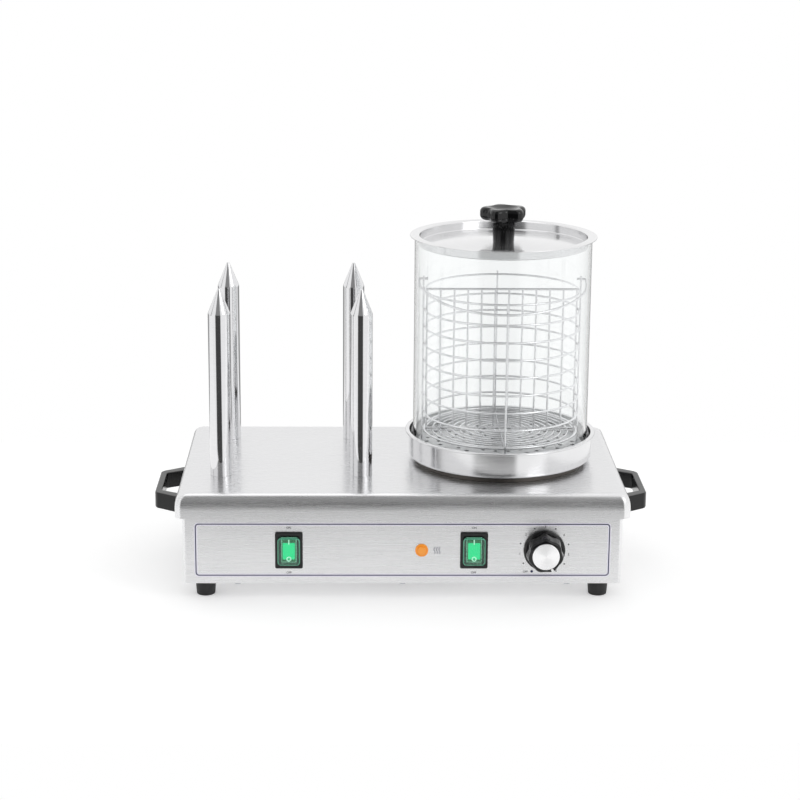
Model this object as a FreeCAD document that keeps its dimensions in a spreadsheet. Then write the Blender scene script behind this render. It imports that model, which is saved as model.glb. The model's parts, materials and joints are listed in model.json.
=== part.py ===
import FreeCAD, Part
import math
import os
import Sketcher
from FreeCAD import Placement, Rotation, Vector

# A counter-top hot dog toaster: a steel box on rubber feet, with four heated
# spikes that toast the buns and a glass steamer that warms the sausages in a
# wire basket. Millimetres, +Z up. The origin lies on the table, under the
# middle of the deck. The controls face -Y.

doc = FreeCAD.newDocument("HotDogToaster")

# Driving dimensions
DRIVING = [
    ("foot_height", 19.5, "rubber foot, table to casing"),
    ("foot_top_radius", 12, "rubber foot where it meets the casing"),
    ("foot_bottom_radius", 10.3, "rubber foot on the table"),
    ("foot_edge_round", 2, "rounding of the foot's lower rim"),
    ("foot_inset", 23.5, "foot axis from the casing's outer faces"),
    ("foot_pocket_radius", 6, "counterbore for the foot bolt's head"),
    ("foot_pocket_depth", 11, "depth of that counterbore"),
    ("base_height", 105, "casing underside to the top of the deck"),
    ("deck_length", 500, "top deck, left to right"),
    ("deck_width", 290, "top deck, front to back"),
    ("deck_sheet", 1.5, "steel of the deck"),
    ("deck_lip", 27.5, "height of the deck's turned-down lip"),
    ("deck_corner", 8.5, "upright corners of the deck"),
    ("deck_edge_round", 7.4, "bend between the deck and its lip"),
    ("overhang_side", 7.5, "deck beyond the casing at each end"),
    ("overhang_front", 9, "deck beyond the casing at front and back"),
    ("casing_wall", 1.5, "steel of the casing"),
    ("casing_corner", 4, "upright corners of the casing"),
    ("casing_flange", 14, "folded flange round the casing's open ends"),
    ("bottom_sheet", 1.5, "steel of the bottom plate"),
    ("bottom_edge_gap", 0.5, "bottom plate inside the casing's outline"),
    ("vent_length", 60, "cooling slot in the bottom plate"),
    ("vent_width", 4, "width of a cooling slot"),
    ("vent_pitch", 14, "one cooling slot to the next"),
    ("vent_count", 9, "cooling slots in each of two rows"),
    ("vent_row_offset", 55, "row of slots from the middle of the plate"),
    ("fixing_end_inset", 60, "outer flange screws from the casing's ends"),
    ("spike_radius", 12.5, "bun spike, a tube 25 mm across"),
    ("spike_height", 212.5, "bun spike above the deck"),
    ("spike_cone", 27.5, "pointed end of the spike"),
    ("spike_tip_radius", 1.5, "blunted tip"),
    ("spike_tip_round", 1.2, "rounding of the blunted tip"),
    ("spike_shoulder_round", 8, "soft change from tube to cone"),
    ("spike_spigot_radius", 8, "threaded spigot under the spike"),
    ("spike_spigot_length", 22, "spigot below the deck's top"),
    ("spike_bank_inset", 125.5, "middle of the front spikes from the deck's left end"),
    ("spike_spacing", 157, "left front spike to right front spike"),
    ("spike_back_shift", -4, "back pair, further left than the front pair"),
    ("spike_back_spacing", 147, "left back spike to right back spike"),
    ("spike_front_y", -66, "front spikes from the middle of the deck"),
    ("spike_back_y", 88.5, "back spikes from the middle of the deck"),
    ("heater_radius", 6, "cartridge heater in each spike"),
    ("heater_length", 170, "length of the cartridge heater"),
    ("heater_collar_height", 1.2, "collar under the spigot"),
    ("pin_radius", 1, "terminal pins"),
    ("pin_length", 8, "length of the terminal pins"),
    ("spike_nut_height", 8, "nut that clamps a spike"),
    ("spike_nut_flats", 24, "that nut across its flats"),
    ("spike_washer_radius", 14.5, "washer under that nut"),
    ("spike_washer_height", 2, "thickness of that washer"),
    ("pan_x", 114, "axis of the water pan, glass and basket"),
    ("pan_sheet", 1.2, "steel of the water pan"),
    ("pan_wall_radius", 105.5, "outside of the pan's wall at its rim"),
    ("pan_base_radius", 104, "outside of the pan's wall at its floor"),
    ("pan_base_round", 4, "rounding between wall and floor"),
    ("pan_rim_radius", 109, "outside of the rolled rim"),
    ("pan_rim_height", 2.2, "thickness of the rolled rim"),
    ("pan_rim_round", 0.95, "rounding of the rolled rim"),
    ("pan_depth", 30, "pan floor's underside to the rim's top"),
    ("plinth_height", 5.5, "ring that lifts the pan off the deck"),
    ("plinth_outer_radius", 98, "outside of that ring"),
    ("plinth_inner_radius", 92, "inside of that ring"),
    ("pan_stud_circle", 95, "welded studs under the plinth ring"),
    ("pan_stud_radius", 2.5, "radius of those studs"),
    ("pan_stud_length", 15, "studs below the deck's top"),
    ("pan_nut_height", 4, "nuts on those studs"),
    ("heating_hole_radius", 86, "hole in the deck for the heating plate"),
    ("heating_plate_radius", 82, "aluminium plate under the pan"),
    ("heating_plate_height", 8, "thickness of that plate"),
    ("element_ring_radius", 58, "tubular element, middle of its ring"),
    ("element_wire_radius", 4, "tubular element, half its thickness"),
    ("element_gap_angle", 24, "open part of the element's ring, degrees"),
    ("element_leg_length", 20, "cold ends that turn down from the ring"),
    ("bridge_length", 150, "bar that holds the element up"),
    ("bridge_width", 22, "width of that bar"),
    ("bridge_height", 2, "thickness of that bar"),
    ("centre_stud_radius", 3, "stud in the middle of the pan's floor"),
    ("centre_stud_end", 2, "centre stud past its nut"),
    ("centre_nut_height", 5, "nut on the centre stud"),
    ("centre_nut_flats", 10, "that nut across its flats"),
    ("cutout_radius", 8, "thermal cut-out on the heating plate"),
    ("cutout_height", 7, "height of the cut-out"),
    ("cutout_offset", 32, "cut-out in front of the pan's axis"),
    ("bulb_radius", 3, "thermostat's sensing bulb"),
    ("bulb_length", 60, "length of the bulb"),
    ("bulb_offset", 28, "bulb behind the pan's axis"),
    ("capillary_radius", 1, "tube that feeds the bulb"),
    ("capillary_bend", 9, "bends of that tube"),
    ("steam_plate_height", 13.8, "pan floor to the top of the steam plate"),
    ("steam_plate_sheet", 1.2, "steel of the steam plate"),
    ("steam_plate_radius", 101.5, "edge of the steam plate"),
    ("steam_skirt_radius", 99.5, "ring that stands the plate on the floor"),
    ("steam_ring_pitch", 14, "one ring of steam holes to the next"),
    ("steam_ring_count", 6, "rings of steam holes"),
    ("steam_hole_radius", 2.5, "steam hole"),
    ("glass_radius", 100, "outside of the glass cylinder"),
    ("glass_wall", 3, "thickness of the glass"),
    ("glass_height", 240, "height of the glass cylinder"),
    ("glass_edge_round", 1, "fire-polished edges of the glass"),
    ("rest_gap", 0.2, "air under a part that lifts off"),
    ("lid_radius", 105.5, "edge of the lid's flange"),
    ("lid_sheet", 1, "steel of the lid"),
    ("lid_side_gap", 1.5, "air between the lid's wall and the glass"),
    ("lid_depth", 10.5, "lid's flange down to the edge of its floor"),
    ("lid_crown", 6.5, "rise of the lid's floor to its middle"),
    ("lid_seat_radius", 20, "flat middle of the lid's floor"),
    ("lid_knob_foot_radius", 12, "lid knob where it meets the lid"),
    ("lid_knob_neck_radius", 13.2, "lid knob under its head"),
    ("lid_knob_neck_height", 21, "lid knob below its head"),
    ("lid_knob_head_height", 14.5, "head of the lid knob"),
    ("lid_knob_core_radius", 20, "head between its lobes"),
    ("lid_knob_lobe_circle", 18.5, "middle of a lobe from the knob's axis"),
    ("lid_knob_lobe_radius", 8.5, "radius of a lobe"),
    ("lid_knob_lobe_count", 5, "lobes round the head"),
    ("lid_knob_lobe_round", 4.8, "rounded rims of the lobes"),
    ("lid_knob_core_round", 2.9, "rounded top between the lobes"),
    ("lid_knob_turn", 8, "turn of the knob on its screw, degrees"),
    ("lid_knob_dish_radius", 16.5, "dished top of the head"),
    ("lid_knob_dish_floor", 8, "flat floor of the dish"),
    ("lid_knob_dish_depth", 3, "depth of the dish"),
    ("lid_screw_radius", 2.5, "screw that holds the lid knob"),
    ("lid_screw_grip", 14, "length of that screw inside the knob"),
    ("lid_screw_head_radius", 5.3, "head of that screw"),
    ("hoop_radius", 87.5, "basket hoops, middle of the wire"),
    ("hoop_wire_radius", 1, "half the hoop wire's thickness"),
    ("hoop_pitch", 20, "one hoop to the next"),
    ("hoop_count", 9, "hoops, with the top one"),
    ("top_hoop_extra", 3, "extra space under the top hoop"),
    ("basket_leg_height", 16, "steam plate to the lowest hoop"),
    ("post_rise", 17, "side posts above the top hoop"),
    ("back_post_rise", 4, "back post above the top hoop"),
    ("weld_bite", 0.4, "how deep crossing wires of one piece are welded"),
    ("weld_gap", 0.03, "air between welded wires of two pieces"),
    ("divider_bar_radius", 1.25, "top bar of the divider"),
    ("divider_wire_radius", 1, "upright wires of the divider"),
    ("divider_wire_pitch", 15.5, "one upright wire to the next"),
    ("divider_wire_count", 12, "upright wires of the divider"),
    ("floor_ring_pitch", 7.8, "rings of the basket's floor"),
    ("floor_ring_count", 11, "rings in the basket's floor"),
    ("floor_wire_radius", 0.8, "half the floor wire's thickness"),
    ("bail_wire_radius", 1.3, "half the bail wire's thickness"),
    ("bail_post_gap", 0.4, "air between the folded bail and the front post"),
    ("bail_pivot_drop", 5, "eye's middle below the side post's top"),
    ("bail_eye_gap", 0.3, "play of the bail's wire in its eye"),
    ("bail_pin_inside", 5, "bail's end past the eye, towards the axis"),
    ("bail_tilt", 13.6, "folded bail below level, degrees"),
    ("handle_projection", 38.5, "handle out from the casing's end"),
    ("handle_grip_length", 84, "outer edge of the handle's grip"),
    ("handle_base_length", 138, "handle along the casing's end"),
    ("handle_height", 19, "thickness of the handle, bottom to top"),
    ("handle_drop", 1, "handle's top below the deck's lip"),
    ("handle_grip_depth", 7.5, "thickness of the grip"),
    ("handle_arm_depth", 9, "thickness of the arms"),
    ("handle_corner_round", 5, "outer corners of the grip"),
    ("handle_edge_bevel", 1.5, "bevel round the handle's top and bottom"),
    ("handle_screw_depth", 12, "screws' grip inside the handle"),
    ("control_rise", 38.7, "controls' middle above the casing's underside"),
    ("panel_clearance", 0.25, "hole in the panel beyond what passes it"),
    ("bun_switch_x", -125.4, "switch of the bun spikes"),
    ("steam_switch_x", 78.6, "switch of the steamer"),
    ("bezel_width", 30.5, "switch frame, left to right"),
    ("bezel_height", 41.5, "switch frame, bottom to top"),
    ("bezel_proud", 2.2, "switch frame proud of the panel"),
    ("bezel_corner", 2, "corners of the switch frame"),
    ("bezel_edge_round", 0.5, "front edge of the switch frame"),
    ("switch_body_width", 24, "switch body behind the panel"),
    ("switch_body_height", 35, "that body, bottom to top"),
    ("switch_body_depth", 28, "that body behind the panel's face"),
    ("switch_well_width", 17, "hollow for the rocker, left to right"),
    ("switch_well_height", 30, "that hollow, bottom to top"),
    ("switch_well_depth", 12, "that hollow behind the panel's face"),
    ("boot_width", 24.8, "clear boot over the rocker"),
    ("boot_height", 31.8, "that boot, bottom to top"),
    ("boot_proud", 5.5, "boot proud of its frame"),
    ("boot_wall", 1, "thickness of the boot"),
    ("boot_corner", 4, "upright corners of the boot"),
    ("boot_edge_round", 1.6, "front edge of the boot"),
    ("rocker_width", 15, "rocker, left to right"),
    ("rocker_height", 25, "rocker, bottom to top"),
    ("rocker_reach", 5.5, "rocker's face in front of its pivot"),
    ("rocker_thickness", 8, "rocker, front to back"),
    ("rocker_edge_round", 0.75, "edges of the rocker"),
    ("rocker_pivot_depth", -2, "rocker's pivot behind the panel's face"),
    ("rocker_pin_radius", 1.5, "pivot pins of the rocker"),
    ("rocker_pin_gap", 0.08, "play of those pins"),
    ("rocker_pin_reach", 10.5, "end of a pin from the switch's middle"),
    ("rocker_tilt", 10, "rocker's lean when it is on, degrees"),
    ("blade_length", 9, "terminal blades of the switch"),
    ("blade_pitch", 9, "one blade to the next"),
    ("blade_width", 6.3, "width of those blades"),
    ("blade_thickness", 0.8, "thickness of those blades"),
    ("lamp_x", 20.9, "pilot lamp"),
    ("lamp_radius", 7.2, "lamp's coloured lens"),
    ("lamp_proud", 3.5, "lens proud of the panel"),
    ("lamp_dome_round", 2.5, "rounding of the lens"),
    ("lamp_barrel_radius", 6, "threaded barrel of the lamp"),
    ("lamp_barrel_depth", 26, "barrel behind the panel's face"),
    ("lamp_nut_flats", 16, "nut on the barrel, across flats"),
    ("lamp_nut_height", 3, "thickness of that nut"),
    ("dial_x", 156.3, "thermostat dial"),
    ("dial_gap", 0.5, "air between the dial and the panel"),
    ("dial_height", 23, "dial without its cap"),
    ("dial_skirt_radius", 23, "skirt of the dial"),
    ("dial_skirt_height", 3, "thickness of the skirt"),
    ("dial_body_radius", 20.5, "dial above its skirt"),
    ("dial_face_radius", 17.5, "dial at its front"),
    ("dial_face_round", 1.5, "front edge of the dial"),
    ("dial_hollow_radius", 19, "hollow behind the dial"),
    ("dial_hollow_depth", 6, "depth of that hollow"),
    ("dial_hub_radius", 6, "hub round the shaft"),
    ("dial_cap_radius", 15, "aluminium cap of the dial"),
    ("dial_cap_seat", 1, "depth of the cap's recess"),
    ("dial_cap_thickness", 1.5, "thickness of the cap"),
    ("shaft_radius", 3, "thermostat's shaft"),
    ("shaft_outside", 16, "shaft in front of the panel's face"),
    ("shaft_inside", 20, "shaft behind the panel's face"),
    ("shaft_gap", 0.3, "air round the shaft in the thermostat"),
    ("shaft_panel_gap", 0.5, "air round the shaft in the panel"),
    ("thermostat_width", 36, "thermostat, left to right"),
    ("thermostat_height", 40, "thermostat, bottom to top"),
    ("thermostat_depth", 32, "thermostat behind the panel"),
    ("thermostat_screw_spacing", 28, "its two screws, apart"),
    ("terminal_length", 46, "terminal block, left to right"),
    ("terminal_width", 22, "terminal block, front to back"),
    ("terminal_height", 20, "terminal block, bottom to top"),
    ("terminal_end_inset", 72.5, "terminal block's middle from the casing's right end"),
    ("terminal_back_inset", 40, "terminal block's middle from the casing's back"),
    ("terminal_screw_spacing", 38, "its two screws, apart"),
    ("gland_end_inset", 42.5, "inlet for the mains lead from the casing's right end"),
    ("gland_rise", 32, "inlet above the casing's underside"),
    ("gland_outside", 24, "gland behind the casing's back"),
    ("gland_inside", 11, "gland's thread inside the back wall's face"),
    ("gland_thread_radius", 8, "thread of the gland"),
    ("gland_bore_radius", 4.5, "way through for the mains lead"),
    ("gland_flange_radius", 12, "gland's flange on the casing"),
    ("gland_flange_height", 5, "thickness of that flange"),
    ("gland_cap_radius", 10.5, "gland's outer nut"),
    ("gland_nose", 5, "tapered end of the gland"),
    ("gland_nose_radius", 6, "end of that taper"),
    ("gland_nut_flats", 22, "gland's inner nut, across flats"),
    ("gland_nut_height", 5, "thickness of that nut"),
    ("screw_radius", 2, "shank of the small screws"),
    ("screw_head_radius", 3.8, "head of the small screws"),
    ("screw_head_height", 2.2, "thickness of that head"),
    ("screw_length", 7, "shank of the screws in the bottom plate"),
    ("nut_height", 3.2, "small nuts on the deck's studs"),
    ("nut_flats", 7, "small nuts across their flats"),
    ("stud_length", 9, "welded studs under the deck"),
    ("foot_bolt_radius", 2.5, "shank of the foot bolts"),
    ("foot_bolt_head_radius", 4.6, "head of the foot bolts"),
    ("foot_bolt_head_height", 3.5, "thickness of that head"),
    ("foot_bolt_end", 3, "foot bolt past its nut"),
    ("foot_nut_flats", 8, "nuts of the foot bolts and pan studs"),
    ("foot_nut_height", 4, "thickness of a foot bolt's nut"),
    ("screw_end_gap", 1, "blind hole past the end of its screw"),
    ("bore_gap", 0.15, "clearance hole beyond its screw"),
    ("thread_gap", 0.03, "nut or blind hole beyond its thread"),
]

sheet = doc.addObject("Spreadsheet::Sheet", "Sizes")
for row, (name, value, note) in enumerate(DRIVING, start=1):
    sheet.set(f"A{row}", name)
    sheet.set(f"B{row}", str(value))
    sheet.setAlias(f"B{row}", name)
    sheet.set(f"C{row}", note)
doc.recompute()


class Size:
    """A length together with the formula that it comes from."""

    def __init__(self, value, formula):
        self.value = value
        self.formula = formula

    def __add__(self, other):
        other = as_size(other)
        return Size(self.value + other.value, f"({self.formula} + {other.formula})")

    def __sub__(self, other):
        other = as_size(other)
        return Size(self.value - other.value, f"({self.formula} - {other.formula})")

    def __mul__(self, other):
        other = as_size(other)
        return Size(self.value * other.value, f"({self.formula} * {other.formula})")

    def __truediv__(self, other):
        other = as_size(other)
        return Size(self.value / other.value, f"({self.formula} / {other.formula})")

    def __neg__(self):
        return Size(-self.value, f"(0 - {self.formula})")

    def __rmul__(self, other):
        return as_size(other) * self

    def __rsub__(self, other):
        return as_size(other) - self

    __radd__ = __add__


def as_size(thing):
    """A plain number counts as a size too."""
    return thing if isinstance(thing, Size) else Size(float(thing), repr(float(thing)))


class Sizes:
    """The driving dimensions by name: S.deck_length and so on."""


S = Sizes()
for name, _, _ in DRIVING:
    setattr(S, name, Size(float(sheet.get(name)), "Sizes." + name))

# Levels and places that follow from the driving dimensions
plate_top = S.foot_height + S.bottom_sheet
deck_top = S.foot_height + S.base_height
deck_under = deck_top - S.deck_sheet
lip_bottom = deck_top - S.deck_lip
casing_length = S.deck_length - 2 * S.overhang_side
casing_width = S.deck_width - 2 * S.overhang_front
casing_side = casing_length / 2
panel_face = casing_width / -2
panel_back = panel_face + S.casing_wall
back_face = casing_width / 2
control_level = S.foot_height + S.control_rise
pan_under = deck_top + S.plinth_height
pan_floor = pan_under + S.pan_sheet
pan_rim_top = pan_under + S.pan_depth
heating_under = pan_under - S.heating_plate_height
element_level = heating_under - S.element_wire_radius
bridge_top = element_level - S.element_wire_radius
bridge_under = bridge_top - S.bridge_height
steam_plate_top = pan_floor + S.steam_plate_height
glass_bottom = steam_plate_top + S.rest_gap
glass_top = glass_bottom + S.glass_height
lid_under = glass_top + S.rest_gap
lid_top = lid_under + S.lid_sheet
lid_wall_radius = S.glass_radius - S.glass_wall - S.lid_side_gap
lid_floor_edge = lid_top - S.lid_depth
lid_seat = lid_floor_edge + S.lid_crown
bottom_hoop = glass_bottom + S.basket_leg_height
top_hoop = bottom_hoop + S.hoop_pitch * (S.hoop_count - 1) + S.top_hoop_extra
post_circle = S.hoop_radius + 2 * S.hoop_wire_radius + S.weld_gap
bail_eye_radius = S.bail_wire_radius + S.bail_eye_gap + S.hoop_wire_radius
side_post_top = top_hoop + S.post_rise
bail_level = side_post_top - S.bail_pivot_drop
bail_front = post_circle + S.hoop_wire_radius + S.bail_post_gap + S.bail_wire_radius
bail_reach = bail_front / math.cos(math.radians(S.bail_tilt.value))
spike_bank_x = S.spike_bank_inset - S.deck_length / 2
terminal_x = casing_side - S.terminal_end_inset
terminal_y = back_face - S.terminal_back_inset
gland_x = casing_side - S.gland_end_inset
handle_top = lip_bottom - S.handle_drop
handle_bottom = handle_top - S.handle_height
handle_middle = handle_top - S.handle_height / 2
handle_screw_y = S.handle_base_length / 2 - S.handle_arm_depth

UP = Rotation()
FRONT = Rotation(Vector(1, 0, 0), 90)
BACK = Rotation(Vector(1, 0, 0), -90)
RIGHT = Rotation(Vector(0, 1, 0), 90)
LEFT = Rotation(Vector(0, 1, 0), -90)
FLATS_TO_CORNERS = math.cos(math.radians(30))

nodes = []


def keep(piece):
    """Marks a finished sub-part: it is written to a file of its own."""
    nodes.append(piece)
    return piece


def bind(thing, settings):
    """Ties measurements to the driving dimensions."""
    for setting, size in settings.items():
        thing.setExpression(setting, as_size(size).formula)


def place(thing, x=0, y=0, z=0, turn=UP):
    """Turns a piece and ties its position to the driving dimensions."""
    thing.Placement = Placement(Vector(), turn)
    bind(thing, {"Placement.Base.x": x, "Placement.Base.y": y, "Placement.Base.z": z})
    return thing


def rod(label, radius, length, x=0, y=0, z=0, turn=UP):
    """A cylinder that starts at x, y, z and runs the way it is turned."""
    piece = doc.addObject("Part::Cylinder", label)
    bind(piece, {"Radius": radius, "Height": length})
    return place(piece, x, y, z, turn)


def ring(label, radius, wire, x=0, y=0, z=0, turn=UP):
    """A closed ring of round wire."""
    piece = doc.addObject("Part::Torus", label)
    bind(piece, {"Radius1": radius, "Radius2": wire})
    return place(piece, x, y, z, turn)


def ball(label, radius, x=0, y=0, z=0):
    piece = doc.addObject("Part::Sphere", label)
    bind(piece, {"Radius": radius})
    return place(piece, x, y, z)


def block(label, length, width, height, x=0, y=0, z=0):
    """A box centred on x and y that stands on z."""
    piece = doc.addObject("Part::Box", label)
    bind(piece, {"Length": length, "Width": width, "Height": height})
    return place(piece, x - as_size(length) / 2, y - as_size(width) / 2, z)


def cut(label, base, *tools):
    tool = tools[0] if len(tools) == 1 else fuse(label + "_tools", *tools)
    piece = doc.addObject("Part::Cut", label)
    piece.Base = base
    piece.Tool = tool
    return piece


def fuse(label, *pieces):
    whole = doc.addObject("Part::MultiFuse", label)
    whole.Shapes = list(pieces)
    return whole


def group(label, pieces):
    """Like fasteners kept together as separate solids."""
    whole = doc.addObject("Part::Compound", label)
    whole.Links = list(pieces)
    return keep(whole)


def origin_plane(body, role):
    return next(f for f in body.Origin.OriginFeatures if f.Role == role)


def outline_sketch(body, label, corners, plane):
    """A closed outline whose corners are tied to the dimensions one by one."""
    sketch = body.newObject("Sketcher::SketchObject", label)
    sketch.AttachmentSupport = [(origin_plane(body, plane), "")]
    sketch.MapMode = "FlatFace"
    corners = [(as_size(across), as_size(along)) for across, along in corners]
    points = [Vector(across.value, along.value, 0) for across, along in corners]
    count = len(points)
    for k in range(count):
        sketch.addGeometry(Part.LineSegment(points[k], points[(k + 1) % count]), False)
    for k in range(count):
        sketch.addConstraint(Sketcher.Constraint("Coincident", k, 2, (k + 1) % count, 1))
    for k, (across, along) in enumerate(corners):
        for kind, size in (("DistanceX", across), ("DistanceY", along)):
            held = sketch.addConstraint(Sketcher.Constraint(kind, -1, 1, k, 1, size.value))
            name = f"{kind}{k}"
            sketch.renameConstraint(held, name)
            sketch.setExpression("Constraints." + name, size.formula)
    return sketch


def turned(label, section, x=0, y=0, z=0, turn=UP):
    """A round body; its half section is given as (radius, height) corners."""
    body = doc.addObject("PartDesign::Body", label)
    sketch = outline_sketch(body, label + "_section", section, "XZ_Plane")
    spin = body.newObject("PartDesign::Revolution", label + "_spin")
    spin.Profile = sketch
    spin.ReferenceAxis = (sketch, ["V_Axis"])
    spin.Angle = 360
    sketch.Visibility = False
    return place(body, x, y, z, turn)


def pressed(label, corners, height, x=0, y=0, z=0):
    """A flat piece of even thickness with the given outline."""
    body = doc.addObject("PartDesign::Body", label)
    sketch = outline_sketch(body, label + "_outline", corners, "XY_Plane")
    pad = body.newObject("PartDesign::Pad", label + "_pad")
    pad.Profile = sketch
    bind(pad, {"Length": height})
    return place(body, x, y, z)


def bar_stock(label, length, width, height, x=0, y=0, z=0, turn=UP):
    """A box as a body, so that its edges can be rounded."""
    body = doc.addObject("PartDesign::Body", label)
    stock = body.newObject("PartDesign::AdditiveBox", label + "_stock")
    bind(stock, {"Length": length, "Width": width, "Height": height})
    place(stock, as_size(length) / -2, as_size(width) / -2, 0)
    return place(body, x, y, z, turn)


def dress(body, kind, setting, size, wanted):
    """Rounds or bevels the edges of a body that the test picks."""
    doc.recompute()
    base = body.Tip
    names = [f"Edge{k}" for k, edge in enumerate(base.Shape.Edges, 1) if wanted(edge)]
    feature = body.newObject(kind, f"{body.Name}_{kind[12:].lower()}{len(body.Group)}")
    feature.Base = (base, names)
    bind(feature, {setting: size})
    return body


def fillet(body, size, wanted):
    return dress(body, "PartDesign::Fillet", "Radius", size, wanted)


def bevel(body, size, wanted):
    return dress(body, "PartDesign::Chamfer", "Size", size, wanted)


def near(one, other):
    return abs(one - other) < 1e-6


def upright(edge):
    first, last = edge.Vertexes[0].Point, edge.Vertexes[-1].Point
    return near(first.x, last.x) and near(first.y, last.y) and not near(first.z, last.z)


def at_level(level):
    """Picks the edges that lie at one height."""
    def wanted(edge):
        box = edge.BoundBox
        return near(box.ZMin, level.value) and near(box.ZMax, level.value)
    return wanted


def rims(*corners):
    """Picks the round edges that these corners of a turned section leave."""
    places = [(as_size(radius).value, as_size(level).value) for radius, level in corners]

    def wanted(edge):
        curve = edge.Curve
        if not isinstance(curve, Part.Circle):
            return False
        return any(near(curve.Radius, r) and near(curve.Center.z, z) for r, z in places)
    return wanted


def rounded_block(label, length, width, height, corner, edge, x=0, y=0, z=0, turn=UP):
    """A box with round upright corners and a round far edge."""
    body = bar_stock(label, length, width, height, x, y, z, turn)
    fillet(body, corner, upright)
    return fillet(body, edge, at_level(as_size(height)))


def screw(label, radius, length, head_radius, head_height, x, y, z, turn=UP):
    """A cheese-head screw: its head's inner face is at x, y, z."""
    shank = rod(label + "_shank", radius, length, x, y, z, turn)
    back = turn.multVec(Vector(0, 0, -1))
    head = rod(label + "_head", head_radius, head_height,
               x + back.x * as_size(head_height), y + back.y * as_size(head_height),
               z + back.z * as_size(head_height), turn)
    return fuse(label, shank, head)


def small_screw(label, length, x, y, z, turn=UP):
    return screw(label, S.screw_radius, length, S.screw_head_radius,
                 S.screw_head_height, x, y, z, turn)


def hex_nut(label, flats, height, bore, x, y, z, turn=UP):
    """A nut that starts at x, y, z and runs the way it is turned."""
    blank = doc.addObject("Part::Prism", label + "_blank")
    blank.Polygon = 6
    bind(blank, {"Circumradius": as_size(flats) / 2 / FLATS_TO_CORNERS, "Height": height})
    place(blank, x, y, z, turn)
    return cut(label, blank, rod(label + "_bore", bore, height, x, y, z, turn))


# Places that repeat
CORNERS = [(f"{depth}_{side}", sx, sy) for depth, sy in (("front", -1), ("back", 1))
           for side, sx in (("left", -1), ("right", 1))]
foot_x = casing_side - S.foot_inset
foot_y = back_face - S.foot_inset
fixing_x = casing_side - S.fixing_end_inset
fixing_y = back_face - S.casing_flange / 2
FIXINGS = [(sx * fixing_x, sy * fixing_y) for sx in (-1, 0, 1) for sy in (-1, 1)]
FIXINGS += [(sx * (casing_side - S.casing_flange / 2), as_size(0)) for sx in (-1, 1)]
pan_stud_turn = 45
PAN_STUDS = [(S.pan_x + math.cos(math.radians(angle)) * S.pan_stud_circle,
              math.sin(math.radians(angle)) * S.pan_stud_circle)
             for angle in range(pan_stud_turn, 360 + pan_stud_turn, 90)]
SPIKES = {
    "front_left": (spike_bank_x - S.spike_spacing / 2, S.spike_front_y),
    "front_right": (spike_bank_x + S.spike_spacing / 2, S.spike_front_y),
    "back_left": (spike_bank_x + S.spike_back_shift - S.spike_back_spacing / 2,
                  S.spike_back_y),
    "back_right": (spike_bank_x + S.spike_back_shift + S.spike_back_spacing / 2,
                   S.spike_back_y),
}


def make_feet():
    """Four rubber feet with sunk bolts, and the nuts on the bottom plate."""
    bore = S.foot_bolt_radius + S.bore_gap
    section = [
        (bore, S.foot_pocket_depth),
        (S.foot_pocket_radius, S.foot_pocket_depth),
        (S.foot_pocket_radius, 0),
        (S.foot_bottom_radius, 0),
        (S.foot_top_radius, S.foot_height),
        (bore, S.foot_height),
    ]
    bolts = []
    nuts = []
    grip = plate_top + S.foot_nut_height + S.foot_bolt_end - S.foot_pocket_depth
    for where, sx, sy in CORNERS:
        foot = turned("foot_" + where, section, sx * foot_x, sy * foot_y)
        keep(fillet(foot, S.foot_edge_round, rims((S.foot_bottom_radius, 0))))
        bolts.append(screw("foot_bolt_" + where, S.foot_bolt_radius, grip,
                           S.foot_bolt_head_radius, S.foot_bolt_head_height,
                           sx * foot_x, sy * foot_y, S.foot_pocket_depth))
        nuts.append(hex_nut("foot_nut_" + where, S.foot_nut_flats, S.foot_nut_height,
                            S.foot_bolt_radius + S.thread_gap,
                            sx * foot_x, sy * foot_y, plate_top))
    group("foot_bolts", bolts)
    group("foot_nuts", nuts)


def make_bottom_plate():
    """The plate that closes the casing, with two rows of cooling slots."""
    length = casing_length - 2 * S.bottom_edge_gap
    width = casing_width - 2 * S.bottom_edge_gap
    plate = bar_stock("bottom_plate_blank", length, width, S.bottom_sheet, 0, 0, S.foot_height)
    fillet(plate, S.casing_corner, upright)
    holes = []
    for k, (x, y) in enumerate(FIXINGS):
        holes.append(rod(f"plate_fixing_hole_{k}", S.screw_radius + S.bore_gap,
                         S.bottom_sheet, x, y, S.foot_height))
    for where, sx, sy in CORNERS:
        holes.append(rod("plate_foot_hole_" + where, S.foot_bolt_radius + S.bore_gap,
                         S.bottom_sheet, sx * foot_x, sy * foot_y, S.foot_height))
    for k, sx in enumerate((-1, 1)):
        holes.append(rod(f"plate_terminal_hole_{k}", S.screw_radius + S.bore_gap,
                         S.bottom_sheet, terminal_x + sx * S.terminal_screw_spacing / 2,
                         terminal_y, S.foot_height))
    slot_count = int(S.vent_count.value)
    for row_name, sy in (("front", -1), ("back", 1)):
        for k in range(slot_count):
            x = S.vent_pitch * (k - (slot_count - 1) / 2)
            holes.append(block(f"vent_{row_name}_{k}", S.vent_width, S.vent_length,
                               S.bottom_sheet, x, sy * S.vent_row_offset, S.foot_height))
    keep(cut("bottom_plate", plate, *holes))
    group("bottom_plate_screws", [
        small_screw(f"bottom_plate_screw_{k}", S.screw_length, x, y, S.foot_height)
        for k, (x, y) in enumerate(FIXINGS)])


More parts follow.
